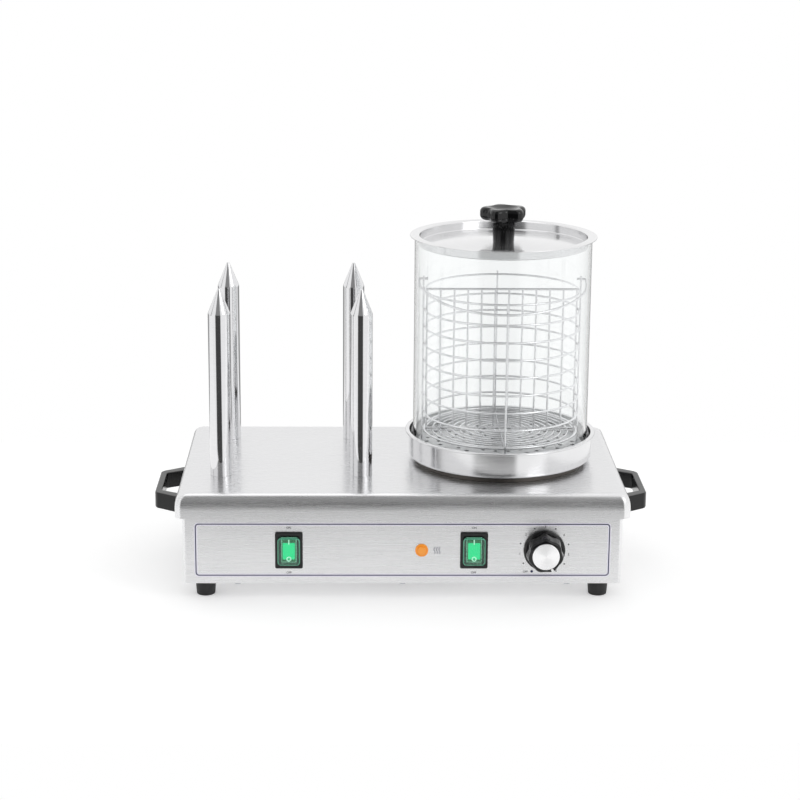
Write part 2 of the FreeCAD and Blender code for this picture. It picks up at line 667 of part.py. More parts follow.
def make_casing():
    """The folded steel casing, with flanges at both open ends and a welded back panel."""
    height = deck_under - plate_top
    shell = bar_stock("casing_blank", casing_length, casing_width, height, 0, 0, plate_top)
    fillet(shell, S.casing_corner, upright)
    tools = [
        block("casing_hollow", casing_length - 2 * S.casing_wall,
              casing_width - 2 * S.casing_wall, height - 2 * S.casing_wall,
              0, 0, plate_top + S.casing_wall),
        block("casing_opening", casing_length - 2 * S.casing_flange,
              casing_width - 2 * S.casing_flange, height, 0, 0, plate_top),
    ]
    for k, (x, y) in enumerate(FIXINGS):
        tools.append(rod(f"casing_lower_hole_{k}", S.screw_radius + S.thread_gap,
                         S.casing_wall, x, y, plate_top))
        tools.append(rod(f"casing_upper_hole_{k}", S.screw_radius + S.bore_gap,
                         S.casing_wall, x, y, deck_under - S.casing_wall))
    hole_width = S.switch_body_width + 2 * S.panel_clearance
    hole_height = S.switch_body_height + 2 * S.panel_clearance
    for name, x in (("bun", S.bun_switch_x), ("steam", S.steam_switch_x)):
        tools.append(block(name + "_switch_hole", hole_width, 2 * S.casing_wall,
                           hole_height, x, panel_face, control_level - hole_height / 2))
    tools += [
        rod("lamp_hole", S.lamp_barrel_radius + S.panel_clearance, S.casing_wall,
            S.lamp_x, panel_back, control_level, FRONT),
        rod("shaft_hole", S.shaft_radius + S.shaft_panel_gap, S.casing_wall,
            S.dial_x, panel_back, control_level, FRONT),
    ]
    for name, sx in (("left", -1), ("right", 1)):
        tools.append(rod(f"thermostat_hole_{name}", S.screw_radius + S.bore_gap, S.casing_wall,
                         S.dial_x + sx * S.thermostat_screw_spacing / 2, panel_back,
                         control_level, FRONT))
        for side, sy in (("front", -1), ("back", 1)):
            tools.append(rod(f"handle_hole_{name}_{side}", S.screw_radius + S.bore_gap,
                             S.casing_wall, sx * (casing_side - S.casing_wall),
                             sy * handle_screw_y, handle_middle,
                             RIGHT if sx > 0 else LEFT))
    panel = (casing_length - 2 * S.casing_wall, S.casing_wall, height,
             0, back_face - S.casing_wall / 2, plate_top)
    tools.append(block("back_panel_room", *panel))
    keep(cut("casing", shell, *tools))
    keep(cut("back_panel", block("back_panel_blank", *panel),
             rod("gland_hole", S.gland_thread_radius + S.panel_clearance, S.casing_wall,
                 gland_x, back_face - S.casing_wall, S.foot_height + S.gland_rise, BACK)))


def make_deck():
    """The pressed deck with its deep lip, its holes and the studs under it."""
    sheet_less = 2 * S.deck_sheet
    outer = rounded_block("deck_outer", S.deck_length, S.deck_width, S.deck_lip,
                          S.deck_corner, S.deck_edge_round, 0, 0, lip_bottom)
    inner = rounded_block("deck_inner", S.deck_length - sheet_less,
                          S.deck_width - sheet_less, S.deck_lip - S.deck_sheet,
                          S.deck_corner - S.deck_sheet, S.deck_edge_round - S.deck_sheet,
                          0, 0, lip_bottom)
    tools = [inner, rod("heating_hole", S.heating_hole_radius, S.deck_sheet,
                        S.pan_x, 0, deck_under)]
    for where, (x, y) in SPIKES.items():
        tools.append(rod("spike_hole_" + where, S.spike_spigot_radius + S.bore_gap,
                         S.deck_sheet, x, y, deck_under))
    for k, (x, y) in enumerate(PAN_STUDS):
        tools.append(rod(f"pan_stud_hole_{k}", S.pan_stud_radius + S.bore_gap,
                         S.deck_sheet, x, y, deck_under))
    pressing = cut("deck_pressing", outer, *tools)
    studs = [rod(f"deck_stud_{k}", S.screw_radius, S.stud_length, x, y,
                 deck_under - S.stud_length)
             for k, (x, y) in enumerate(FIXINGS)]
    keep(fuse("top_deck", pressing, *studs))
    nut_level = deck_under - S.casing_wall - S.nut_height
    group("deck_nuts", [
        hex_nut(f"deck_nut_{k}", S.nut_flats, S.nut_height, S.screw_radius + S.thread_gap,
                x, y, nut_level)
        for k, (x, y) in enumerate(FIXINGS)])


def make_handle(name, sx):
    """A trapezoid carrying handle, moulded in one piece."""
    wall = sx * casing_side
    grip = sx * (casing_side + S.handle_projection)
    grip_inside = sx * (casing_side + S.handle_projection - S.handle_grip_depth)
    half_base = S.handle_base_length / 2
    half_grip = S.handle_grip_length / 2
    inner_base = half_base - S.handle_arm_depth * 2
    inner_grip = half_grip - S.handle_arm_depth
    handle = pressed("handle_" + name, [
        (wall, -half_base), (grip, -half_grip), (grip, half_grip), (wall, half_base),
        (wall, inner_base), (grip_inside, inner_grip),
        (grip_inside, -inner_grip), (wall, -inner_base),
    ], S.handle_height, 0, 0, handle_bottom)

    def grip_corner(edge):
        return upright(edge) and near(edge.Vertexes[0].X, grip.value)
    fillet(handle, S.handle_corner_round, grip_corner)

    def outer_rim(edge):
        box = edge.BoundBox
        level = near(box.ZMin, box.ZMax)
        beyond = max(abs(box.XMin), abs(box.XMax)) > abs(wall.value) + 1
        return level and beyond
    bevel(handle, S.handle_edge_bevel, outer_rim)
    turn = RIGHT if sx > 0 else LEFT
    holes = [rod(f"handle_insert_{name}_{side}", S.screw_radius + S.thread_gap,
                 S.handle_screw_depth + S.screw_end_gap, wall, sy * handle_screw_y,
                 handle_middle, turn)
             for side, sy in (("front", -1), ("back", 1))]
    handle.Label = f"handle_{name}_moulding"
    whole = cut(f"handle_{name}_bored", handle, *holes)
    whole.Label = "handle_" + name
    return keep(whole)


def make_handles():
    screws = []
    for name, sx in (("left", -1), ("right", 1)):
        make_handle(name, sx)
        for side, sy in (("front", -1), ("back", 1)):
            screws.append(small_screw(
                f"handle_screw_{name}_{side}", S.handle_screw_depth + S.casing_wall,
                sx * (casing_side - S.casing_wall), sy * handle_screw_y, handle_middle,
                RIGHT if sx > 0 else LEFT))
    group("handle_screws", screws)


def make_spikes():
    """Four bun spikes, each with a cartridge heater, a washer and a nut."""
    spigot_end = deck_top - S.spike_spigot_length
    tip = deck_top + S.spike_height
    cone_base = tip - S.spike_cone
    bore = S.heater_radius + S.bore_gap
    heater_top = spigot_end + S.heater_length
    section = [
        (bore, spigot_end), (S.spike_spigot_radius, spigot_end),
        (S.spike_spigot_radius, deck_top), (S.spike_radius, deck_top),
        (S.spike_radius, cone_base), (S.spike_tip_radius, tip), (0, tip),
        (0, heater_top + S.rest_gap), (bore, heater_top + S.rest_gap),
    ]
    washers = []
    nuts = []
    for where, (x, y) in SPIKES.items():
        spike = turned("spike_" + where, section, x, y)
        fillet(spike, S.spike_shoulder_round, rims((S.spike_radius, cone_base)))
        keep(fillet(spike, S.spike_tip_round, rims((S.spike_tip_radius, tip))))
        heater = [
            rod(f"heater_tube_{where}", S.heater_radius, S.heater_length, x, y, spigot_end),
            rod(f"heater_collar_{where}", S.spike_spigot_radius, S.heater_collar_height,
                x, y, spigot_end - S.heater_collar_height),
        ]
        for k, sx in enumerate((-1, 1)):
            heater.append(rod(f"heater_pin_{where}_{k}", S.pin_radius, S.pin_length,
                              x + sx * S.heater_radius / 2, y,
                              spigot_end - S.heater_collar_height - S.pin_length))
        keep(fuse("spike_heater_" + where, *heater))
        washer_level = deck_under - S.spike_washer_height
        blank = rod(f"spike_washer_blank_{where}", S.spike_washer_radius,
                    S.spike_washer_height, x, y, washer_level)
        hole = rod(f"spike_washer_hole_{where}", S.spike_spigot_radius + S.bore_gap,
                   S.spike_washer_height, x, y, washer_level)
        washers.append(cut("spike_washer_" + where, blank, hole))
        nuts.append(hex_nut("spike_nut_" + where, S.spike_nut_flats, S.spike_nut_height,
                            S.spike_spigot_radius + S.thread_gap, x, y,
                            washer_level - S.spike_nut_height))
    group("spike_washers", washers)
    group("spike_nuts", nuts)


def make_pan():
    """The water pan on its plinth ring, with studs that pass through the deck."""
    rim_under = pan_rim_top - S.pan_rim_height
    stud_end = bridge_under - S.centre_nut_height - S.centre_stud_end
    inside = S.pan_wall_radius - S.pan_sheet
    pan = turned("pan_pressing", [
        (0, stud_end), (S.centre_stud_radius, stud_end), (S.centre_stud_radius, pan_under),
        (S.plinth_inner_radius, pan_under), (S.plinth_inner_radius, deck_top),
        (S.plinth_outer_radius, deck_top), (S.plinth_outer_radius, pan_under),
        (S.pan_base_radius, pan_under), (S.pan_wall_radius, rim_under),
        (S.pan_rim_radius, rim_under), (S.pan_rim_radius, pan_rim_top),
        (inside, pan_rim_top), (S.pan_base_radius - S.pan_sheet, pan_floor), (0, pan_floor),
    ], S.pan_x)
    fillet(pan, S.pan_base_round, rims((S.pan_base_radius, pan_under)))
    fillet(pan, S.pan_base_round - S.pan_sheet,
           rims((S.pan_base_radius - S.pan_sheet, pan_floor)))
    fillet(pan, S.pan_rim_round,
           rims((S.pan_rim_radius, rim_under), (S.pan_rim_radius, pan_rim_top)))
    studs = [rod(f"pan_stud_{k}", S.pan_stud_radius, S.pan_stud_length, x, y,
                 deck_top - S.pan_stud_length)
             for k, (x, y) in enumerate(PAN_STUDS)]
    keep(fuse("water_pan", pan, *studs))
    nuts = [hex_nut(f"pan_nut_{k}", S.foot_nut_flats, S.pan_nut_height,
                    S.pan_stud_radius + S.thread_gap, x, y, deck_under - S.pan_nut_height)
            for k, (x, y) in enumerate(PAN_STUDS)]
    nuts.append(hex_nut("element_nut", S.centre_nut_flats, S.centre_nut_height,
                        S.centre_stud_radius + S.thread_gap, S.pan_x, 0,
                        bridge_under - S.centre_nut_height))
    group("pan_nuts", nuts)


def make_heating():
    """Plate, tubular element, bridge, cut-out and sensing bulb under the pan."""
    centre_bore = S.centre_stud_radius + S.bore_gap
    keep(turned("heating_plate", [
        (centre_bore, heating_under), (S.heating_plate_radius, heating_under),
        (S.heating_plate_radius, pan_under), (centre_bore, pan_under),
    ], S.pan_x))

    half_gap = S.element_gap_angle / 2
    loop = doc.addObject("Part::Torus", "element_loop")
    bind(loop, {"Radius1": S.element_ring_radius, "Radius2": S.element_wire_radius,
                "Angle3": 360 - S.element_gap_angle})
    opening = 90 + half_gap.value
    place(loop, S.pan_x, 0, element_level, Rotation(Vector(0, 0, 1), opening))
    element = [loop]
    for name, side in (("left", 1), ("right", -1)):
        angle = math.radians(90 + side * half_gap.value)
        x = S.pan_x + math.cos(angle) * S.element_ring_radius
        y = math.sin(angle) * S.element_ring_radius
        leg_end = element_level - S.element_leg_length
        element += [
            ball(f"element_bend_{name}", S.element_wire_radius, x, y, element_level),
            rod(f"element_leg_{name}", S.element_wire_radius, S.element_leg_length,
                x, y, leg_end),
            rod(f"element_pin_{name}", S.pin_radius, S.pin_length,
                x, y, leg_end - S.pin_length),
        ]
    keep(fuse("heating_element", *element))

    bar = block("element_bridge_bar", S.bridge_length, S.bridge_width, S.bridge_height,
                S.pan_x, 0, bridge_under)
    keep(cut("element_bridge", bar, rod("element_bridge_hole", centre_bore,
                                        S.bridge_height, S.pan_x, 0, bridge_under)))

    cutout_under = heating_under - S.cutout_height
    cutout = [rod("cutout_can", S.cutout_radius, S.cutout_height, S.pan_x,
                  -S.cutout_offset, cutout_under)]
    for k, sx in enumerate((-1, 1)):
        cutout.append(rod(f"cutout_pin_{k}", S.pin_radius, S.pin_length,
                          S.pan_x + sx * S.cutout_radius / 2, -S.cutout_offset,
                          cutout_under - S.pin_length))
    keep(fuse("thermal_cutout", *cutout))
    make_bulb()


def rounded_path(points, bend):
    """Straight runs joined by tangent arcs, as a bent capillary tube lies."""
    edges = []
    start = points[0]
    for before, corner, after in zip(points, points[1:], points[2:]):
        to_corner = (corner - before).normalize()
        from_corner = (after - corner).normalize()
        half_turn = to_corner.getAngle(from_corner) / 2
        back_off = bend * math.tan(half_turn)
        first = corner - to_corner * back_off
        last = corner + from_corner * back_off
        bisector = (from_corner - to_corner).normalize()
        centre = corner + bisector * (bend / math.cos(half_turn))
        middle = centre - bisector * bend
        edges.append(Part.LineSegment(start, first).toShape())
        edges.append(Part.Arc(first, middle, last).toShape())
        start = last
    edges.append(Part.LineSegment(start, points[-1]).toShape())
    return Part.Wire(edges)


def make_bulb():
    """The thermostat's sensing bulb with the capillary that feeds it."""
    bulb_level = heating_under - S.bulb_radius
    bulb_start = S.pan_x - S.bulb_length / 2
    bulb_end = S.pan_x + S.bulb_length / 2
    riser_x = bulb_end + S.capillary_bend + S.capillary_radius
    stops = [
        (riser_x, panel_back + S.thermostat_depth, control_level),
        (riser_x, S.bulb_offset, control_level),
        (riser_x, S.bulb_offset, bulb_level),
        (bulb_end - S.bulb_radius, S.bulb_offset, bulb_level),
    ]
    points = [Vector(x.value, y.value, z.value) for x, y, z in stops]
    path = rounded_path(points, S.capillary_bend.value)
    profile = Part.Wire(Part.makeCircle(S.capillary_radius.value, points[0],
                                        Vector(0, 1, 0)))
    capillary = path.makePipeShell([profile], True, False)
    bulb = Part.makeCylinder(S.bulb_radius.value, S.bulb_length.value,
                             Vector(bulb_start.value, S.bulb_offset.value, bulb_level.value),
                             Vector(1, 0, 0))
    node = doc.addObject("Part::Feature", "sensing_bulb")
    node.Shape = bulb.fuse(capillary)
    node.Placement = Placement()
    keep(node)


def make_steam_plate():
    """The perforated plate that carries the glass and the basket."""
    top = steam_plate_top.value
    thickness = S.steam_plate_sheet.value
    axis = Vector(S.pan_x.value, 0, 0)
    under = Vector(0, 0, top - thickness)
    holes = [Part.makeCircle(S.steam_hole_radius.value, axis + under)]
    for k in range(1, int(S.steam_ring_count.value) + 1):
        for j in range(6 * k):
            angle = 2 * math.pi * j / (6 * k)
            out = Vector(math.cos(angle), math.sin(angle), 0) * (k * S.steam_ring_pitch.value)
            holes.append(Part.makeCircle(S.steam_hole_radius.value, axis + under + out))
    edge = Part.makeCircle(S.steam_plate_radius.value, axis + under)
    wires = [Part.Wire(circle) for circle in [edge] + holes]
    disc = Part.makeFace(wires, "Part::FaceMakerBullseye").extrude(Vector(0, 0, thickness))
    floor = Vector(0, 0, pan_floor.value)
    skirt_height = top - thickness - pan_floor.value
    skirt = Part.makeCylinder(S.steam_skirt_radius.value, skirt_height, axis + floor)
    hollow = Part.makeCylinder(S.steam_skirt_radius.value - thickness, skirt_height,
                               axis + floor)
    plate = doc.addObject("Part::Feature", "steam_plate")
    plate.Shape = disc.fuse(skirt.cut(hollow))
    plate.Placement = Placement()
    keep(plate)


def make_glass():
    """The open glass cylinder that stands in the pan."""
    inside = S.glass_radius - S.glass_wall
    glass = turned("glass_cylinder", [
        (inside, glass_bottom), (S.glass_radius, glass_bottom),
        (S.glass_radius, glass_top), (inside, glass_top),
    ], S.pan_x)
    keep(fillet(glass, S.glass_edge_round, rims(
        (inside, glass_bottom), (S.glass_radius, glass_bottom),
        (S.glass_radius, glass_top), (inside, glass_top))))


def make_lid():
    """The dished lid with its lobed knob and the screw between them."""
    hole = S.lid_screw_radius + S.bore_gap
    inner_wall = lid_wall_radius - S.lid_sheet
    keep(turned("lid", [
        (S.lid_radius, lid_under), (S.lid_radius, lid_top), (inner_wall, lid_top),
        (inner_wall, lid_floor_edge), (S.lid_seat_radius, lid_seat), (hole, lid_seat),
        (hole, lid_seat - S.lid_sheet), (S.lid_seat_radius, lid_seat - S.lid_sheet),
        (lid_wall_radius, lid_floor_edge - S.lid_sheet), (lid_wall_radius, lid_under),
    ], S.pan_x))

    head_under = lid_seat + S.lid_knob_neck_height
    knob_top = head_under + S.lid_knob_head_height
    screw_end = lid_seat + S.lid_screw_grip
    bore = S.lid_screw_radius + S.thread_gap
    neck = turned("lid_knob_neck", [
        (bore, lid_seat), (S.lid_knob_foot_radius, lid_seat),
        (S.lid_knob_neck_radius, head_under), (S.lid_knob_core_radius, head_under),
        (S.lid_knob_core_radius, knob_top), (0, knob_top),
        (0, screw_end + S.rest_gap), (bore, screw_end + S.rest_gap),
    ], S.pan_x)
    fillet(neck, S.lid_knob_core_round, rims((S.lid_knob_core_radius, knob_top)))
    parts = [neck]
    lobe_count = int(S.lid_knob_lobe_count.value)
    for k in range(lobe_count):
        angle = math.radians(90 + S.lid_knob_turn.value + 360 * k / lobe_count)
        lobe = turned(f"lid_knob_lobe_{k}", [
            (0, head_under), (S.lid_knob_lobe_radius, head_under),
            (S.lid_knob_lobe_radius, knob_top), (0, knob_top),
        ], S.pan_x + math.cos(angle) * S.lid_knob_lobe_circle,
            math.sin(angle) * S.lid_knob_lobe_circle)
        parts.append(fillet(lobe, S.lid_knob_lobe_round, rims(
            (S.lid_knob_lobe_radius, head_under), (S.lid_knob_lobe_radius, knob_top))))
    dish_under = knob_top - S.lid_knob_dish_depth
    dish = turned("lid_knob_dish", [
        (0, dish_under), (S.lid_knob_dish_floor, dish_under),
        (S.lid_knob_dish_radius, knob_top), (0, knob_top),
    ], S.pan_x)
    keep(cut("lid_knob", fuse("lid_knob_blank", *parts), dish))
    keep(screw("lid_knob_screw", S.lid_screw_radius, S.lid_screw_grip + S.lid_sheet,
               S.lid_screw_head_radius, S.screw_head_height,
               S.pan_x, 0, lid_seat - S.lid_sheet))


def make_basket():
    """The wire basket: hoops, posts with the bail's eyes, a divider and a ringed floor."""
    wire = S.hoop_wire_radius
    levels = [bottom_hoop + S.hoop_pitch * k for k in range(int(S.hoop_count.value) - 1)]
    group("basket_hoops", [ring(f"hoop_{k}", S.hoop_radius, wire, S.pan_x, 0, level)
                           for k, level in enumerate(levels + [top_hoop])])

    posts = []
    for name, sy, top in (("front", -1, top_hoop + wire),
                          ("back", 1, top_hoop + S.back_post_rise)):
        posts.append(rod(f"post_{name}", wire, top - glass_bottom, S.pan_x,
                         sy * post_circle, glass_bottom))
    for name, sx in (("left", -1), ("right", 1)):
        x = S.pan_x + sx * post_circle
        stem = rod(f"post_stem_{name}", wire, bail_level - bail_eye_radius - glass_bottom,
                   x, 0, glass_bottom)
        eye = ring(f"bail_eye_{name}", bail_eye_radius, wire, x, 0, bail_level, RIGHT)
        posts.append(fuse(f"post_{name}", stem, eye))
    group("basket_posts", posts)

    floor_level = bottom_hoop - wire - S.floor_wire_radius + S.weld_bite
    spoke_level = floor_level - S.floor_wire_radius - wire + S.weld_bite
    mat = [ring(f"floor_ring_{k}", S.floor_ring_pitch * k, S.floor_wire_radius,
                S.pan_x, 0, floor_level)
           for k in range(1, int(S.floor_ring_count.value) + 1)]
    spoke = 2 * (post_circle - wire - S.weld_gap)
    mat.append(rod("floor_spoke_x", wire, spoke, S.pan_x - spoke / 2, 0, spoke_level, RIGHT))
    mat.append(rod("floor_spoke_y", wire, spoke, S.pan_x, spoke / -2, spoke_level, BACK))
    keep(fuse("basket_floor", *mat))

    bar = S.divider_bar_radius
    half_bar = S.hoop_radius - wire - S.weld_gap
    foot_level = floor_level + S.floor_wire_radius + wire
    grid = [
        rod("divider_top_bar", bar, 2 * half_bar, S.pan_x - half_bar, 0, top_hoop, RIGHT),
        rod("divider_bottom_bar", wire, 2 * half_bar, S.pan_x - half_bar, 0,
            foot_level, RIGHT),
    ]
    count = int(S.divider_wire_count.value)
    for k in range(count):
        x = S.pan_x + S.divider_wire_pitch * (k - (count - 1) / 2)
        grid.append(rod(f"divider_wire_{k}", S.divider_wire_radius,
                        top_hoop - foot_level, x, 0, foot_level))
    keep(fuse("basket_divider", *grid))


def make_bail():
    """The half-round carrying bail, folded to the front on its two eyes."""
    wire = S.bail_wire_radius
    bow = doc.addObject("Part::Torus", "bail_bow")
    bind(bow, {"Radius1": bail_reach, "Radius2": wire, "Angle3": 180})
    fold = Rotation(Vector(1, 0, 0), S.bail_tilt.value)
    place(bow, S.pan_x, 0, bail_level, fold.multiply(Rotation(Vector(0, 0, 1), 180)))
    pin = bail_reach - post_circle + S.bail_pin_inside
    parts = [bow]
    for name, sx in (("left", -1), ("right", 1)):
        end = S.pan_x + sx * bail_reach
        parts.append(ball(f"bail_bend_{name}", wire, end, 0, bail_level))
        parts.append(rod(f"bail_pin_{name}", wire, pin, end, 0, bail_level,
                         LEFT if sx > 0 else RIGHT))
    keep(fuse("basket_bail", *parts))


def make_switch(name, x):
    """A waterproof rocker switch: frame with body, rocker and clear boot."""
    frame_front = panel_face - S.bezel_proud
    frame = rounded_block(name + "_switch_bezel", S.bezel_width, S.bezel_height,
                          S.bezel_proud, S.bezel_corner, S.bezel_edge_round,
                          x, panel_face, control_level, FRONT)
    body = block(name + "_switch_can", S.switch_body_width, S.switch_body_depth,
                 S.switch_body_height, x, panel_face + S.switch_body_depth / 2,
                 control_level - S.switch_body_height / 2)
    blades = []
    for k, step in enumerate((-1, 0, 1)):
        blades.append(block(f"{name}_switch_blade_{k}", S.blade_width,
                            S.blade_length, S.blade_thickness, x,
                            panel_face + S.switch_body_depth + S.blade_length / 2,
                            control_level + step * S.blade_pitch))
    well_length = S.bezel_proud + S.switch_well_depth
    well = block(name + "_switch_well", S.switch_well_width, well_length,
                 S.switch_well_height, x, frame_front + well_length / 2,
                 control_level - S.switch_well_height / 2)
    pivot_y = panel_face - S.rocker_pivot_depth
    pin_hole = S.rocker_pin_radius + S.rocker_pin_gap
    hole_reach = S.rocker_pin_reach + S.bore_gap
    pivot = rod(name + "_pivot_hole", pin_hole, 2 * hole_reach, x - hole_reach, pivot_y,
                control_level, RIGHT)
    keep(cut(name + "_switch_frame", fuse(name + "_switch_solid", frame, body, *blades),
             well, pivot))

    outer = rounded_block(name + "_boot_outer", S.boot_width, S.boot_height, S.boot_proud,
                          S.boot_corner, S.boot_edge_round, x, frame_front,
                          control_level, FRONT)
    wall = 2 * S.boot_wall
    inner = rounded_block(name + "_boot_inner", S.boot_width - wall, S.boot_height - wall,
                          S.boot_proud - S.boot_wall, S.boot_corner - S.boot_wall,
                          S.boot_edge_round - S.boot_wall, x, frame_front,
                          control_level, FRONT)
    keep(cut(name + "_switch_boot", outer, inner))

    lean = Rotation(Vector(1, 0, 0), -S.rocker_tilt.value)
    key = doc.addObject("PartDesign::Body", name + "_rocker_key")
    stock = key.newObject("PartDesign::AdditiveBox", name + "_rocker_stock")
    bind(stock, {"Length": S.rocker_width, "Width": S.rocker_thickness,
                 "Height": S.rocker_height})
    place(stock, S.rocker_width / -2, -S.rocker_reach, S.rocker_height / -2)
    fillet(key, S.rocker_edge_round, lambda edge: True)
    place(key, x, pivot_y, control_level, lean)
    pin = rod(name + "_rocker_pin", S.rocker_pin_radius, 2 * S.rocker_pin_reach,
              x - S.rocker_pin_reach, pivot_y, control_level, RIGHT)
    keep(fuse(name + "_switch_rocker", key, pin))


def make_lamp():
    """The pilot lamp: lens, threaded barrel and its nut."""
    keep(fillet(turned("pilot_lamp_lens", [
        (0, 0), (S.lamp_radius, 0), (S.lamp_radius, S.lamp_proud), (0, S.lamp_proud),
    ], S.lamp_x, panel_face, control_level, FRONT),
        S.lamp_dome_round, rims((S.lamp_radius, S.lamp_proud))))
    barrel = [
        rod("lamp_barrel", S.lamp_barrel_radius, S.lamp_barrel_depth,
            S.lamp_x, panel_face, control_level, BACK)]
    for k, sx in enumerate((-1, 1)):
        barrel.append(rod(f"lamp_pin_{k}", S.pin_radius, S.pin_length,
                          S.lamp_x + sx * S.lamp_barrel_radius / 2,
                          panel_face + S.lamp_barrel_depth, control_level, BACK))
    keep(fuse("pilot_lamp_body", *barrel))
    keep(hex_nut("pilot_lamp_nut", S.lamp_nut_flats, S.lamp_nut_height,
                 S.lamp_barrel_radius + S.thread_gap, S.lamp_x, panel_back,
                 control_level, BACK))


def make_dial():
    """The thermostat with its shaft, and the dial with an aluminium cap."""
    bore = S.shaft_radius + S.thread_gap
    shaft_end = S.shaft_outside - S.dial_gap
    face = S.dial_height - S.dial_cap_seat
    dial = turned("dial_knob", [
        (bore, 0), (S.dial_hub_radius, 0), (S.dial_hub_radius, S.dial_hollow_depth),
        (S.dial_hollow_radius, S.dial_hollow_depth), (S.dial_hollow_radius, 0),
        (S.dial_skirt_radius, 0), (S.dial_skirt_radius, S.dial_skirt_height),
        (S.dial_body_radius, S.dial_skirt_height), (S.dial_face_radius, S.dial_height),
        (S.dial_cap_radius, S.dial_height), (S.dial_cap_radius, face), (0, face),
        (0, shaft_end), (bore, shaft_end),
    ], S.dial_x, panel_face - S.dial_gap, control_level, FRONT)
    keep(fillet(dial, S.dial_face_round, rims((S.dial_face_radius, S.dial_height))))
    keep(rod("dial_cap", S.dial_cap_radius - S.thread_gap, S.dial_cap_thickness,
             S.dial_x, panel_face - S.dial_gap - face, control_level, FRONT))
    keep(rod("thermostat_shaft", S.shaft_radius, S.shaft_inside + S.shaft_outside,
             S.dial_x, panel_face + S.shaft_inside, control_level, FRONT))

    can = block("thermostat_can", S.thermostat_width, S.thermostat_depth,
                S.thermostat_height, S.dial_x, panel_back + S.thermostat_depth / 2,
                control_level - S.thermostat_height / 2)
    holes = [rod("thermostat_bore", S.shaft_radius + S.shaft_gap,
                 S.shaft_inside + S.shaft_gap - S.casing_wall,
                 S.dial_x, panel_back, control_level, BACK)]
    screws = []
    for side, sx in (("left", -1), ("right", 1)):
        x = S.dial_x + sx * S.thermostat_screw_spacing / 2
        holes.append(rod(f"thermostat_thread_{side}", S.screw_radius + S.thread_gap,
                         S.screw_length, x, panel_back, control_level, BACK))
        screws.append(small_screw(f"thermostat_screw_{side}", S.screw_length,
                                  x, panel_face, control_level, BACK))
    keep(cut("thermostat", can, *holes))
    group("thermostat_screws", screws)


def make_mains_inlet():
    """The gland for the mains lead and the terminal block behind it."""
    level = S.foot_height + S.gland_rise
    bore = S.gland_bore_radius
    keep(turned("cable_gland", [
        (bore, -S.gland_inside), (S.gland_thread_radius, -S.gland_inside),
        (S.gland_thread_radius, 0), (S.gland_flange_radius, 0),
        (S.gland_flange_radius, S.gland_flange_height),
        (S.gland_cap_radius, S.gland_flange_height),
        (S.gland_cap_radius, S.gland_outside - S.gland_nose),
        (S.gland_nose_radius, S.gland_outside), (bore, S.gland_outside),
    ], gland_x, back_face, level, BACK))
    keep(hex_nut("cable_gland_nut", S.gland_nut_flats, S.gland_nut_height,
                 S.gland_thread_radius + S.thread_gap, gland_x,
                 back_face - S.casing_wall, level, FRONT))

    strip = block("terminal_strip", S.terminal_length, S.terminal_width,
                  S.terminal_height, terminal_x, terminal_y, plate_top)
    holes = []
    screws = []
    for side, sx in (("left", -1), ("right", 1)):
        x = terminal_x + sx * S.terminal_screw_spacing / 2
        holes.append(rod(f"terminal_thread_{side}", S.screw_radius + S.thread_gap,
                         S.screw_length, x, terminal_y, plate_top))
        screws.append(small_screw(f"terminal_screw_{side}", S.screw_length,
                                  x, terminal_y, S.foot_height))
    keep(cut("terminal_block", strip, *holes))
    group("terminal_screws", screws)


make_feet()
make_bottom_plate()
make_casing()
make_deck()
make_handles()
make_spikes()
make_pan()
make_heating()
make_steam_plate()
make_glass()
make_lid()
make_basket()
make_bail()
make_switch("bun", S.bun_switch_x)
make_switch("steam", S.steam_switch_x)
make_lamp()
make_dial()
make_mains_inlet()
doc.recompute()

# Nothing is written unless every object is sound
for thing in doc.Objects:
    if "Invalid" in thing.State or "Error" in thing.State:
        raise RuntimeError(f"{thing.Label} could not be built: {thing.State}")
for piece in nodes:
    if piece.Shape.isNull() or not piece.Shape.isValid() or not piece.Shape.Solids:
        raise RuntimeError(f"{piece.Label} is not a sound solid")

os.makedirs("parts", exist_ok=True)
for piece in nodes:
    piece.Shape.exportStep(f"parts/{piece.Label}.step")
print(len(nodes), "sub-parts written")
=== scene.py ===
# %% [markdown]
# # Dressing a hot dog toaster
# The appliance is a flat stainless box with four heated spikes for the buns and a glass
# steamer for the sausages. The engineering model already holds every piece at its real size
# and place. This script gives each piece the surface that the eye expects, one step at a
# time: first the camera, then the studio, then the finishes, then the pieces.

import json
import math

import bmesh
import bpy
from mathutils import Matrix, Vector


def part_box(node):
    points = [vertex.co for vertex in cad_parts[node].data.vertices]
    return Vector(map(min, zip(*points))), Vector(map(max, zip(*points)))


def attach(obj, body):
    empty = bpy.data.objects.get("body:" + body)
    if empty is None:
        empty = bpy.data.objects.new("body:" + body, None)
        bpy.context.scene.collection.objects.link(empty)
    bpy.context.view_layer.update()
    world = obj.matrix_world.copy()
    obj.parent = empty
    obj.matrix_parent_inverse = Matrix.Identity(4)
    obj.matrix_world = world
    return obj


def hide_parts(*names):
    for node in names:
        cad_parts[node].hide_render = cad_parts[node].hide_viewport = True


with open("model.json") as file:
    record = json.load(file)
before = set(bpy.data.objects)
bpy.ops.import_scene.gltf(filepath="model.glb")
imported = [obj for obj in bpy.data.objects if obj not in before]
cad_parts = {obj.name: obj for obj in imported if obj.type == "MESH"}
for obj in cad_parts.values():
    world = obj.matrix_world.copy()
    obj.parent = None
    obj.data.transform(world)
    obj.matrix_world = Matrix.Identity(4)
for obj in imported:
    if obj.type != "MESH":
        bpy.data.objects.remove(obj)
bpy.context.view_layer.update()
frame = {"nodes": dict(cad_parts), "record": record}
print("nodes in the model:", len(frame["nodes"]))

# %% Sizes and places that many pieces share
MM = 0.001
UPRIGHT = Vector((0, 0, 1))


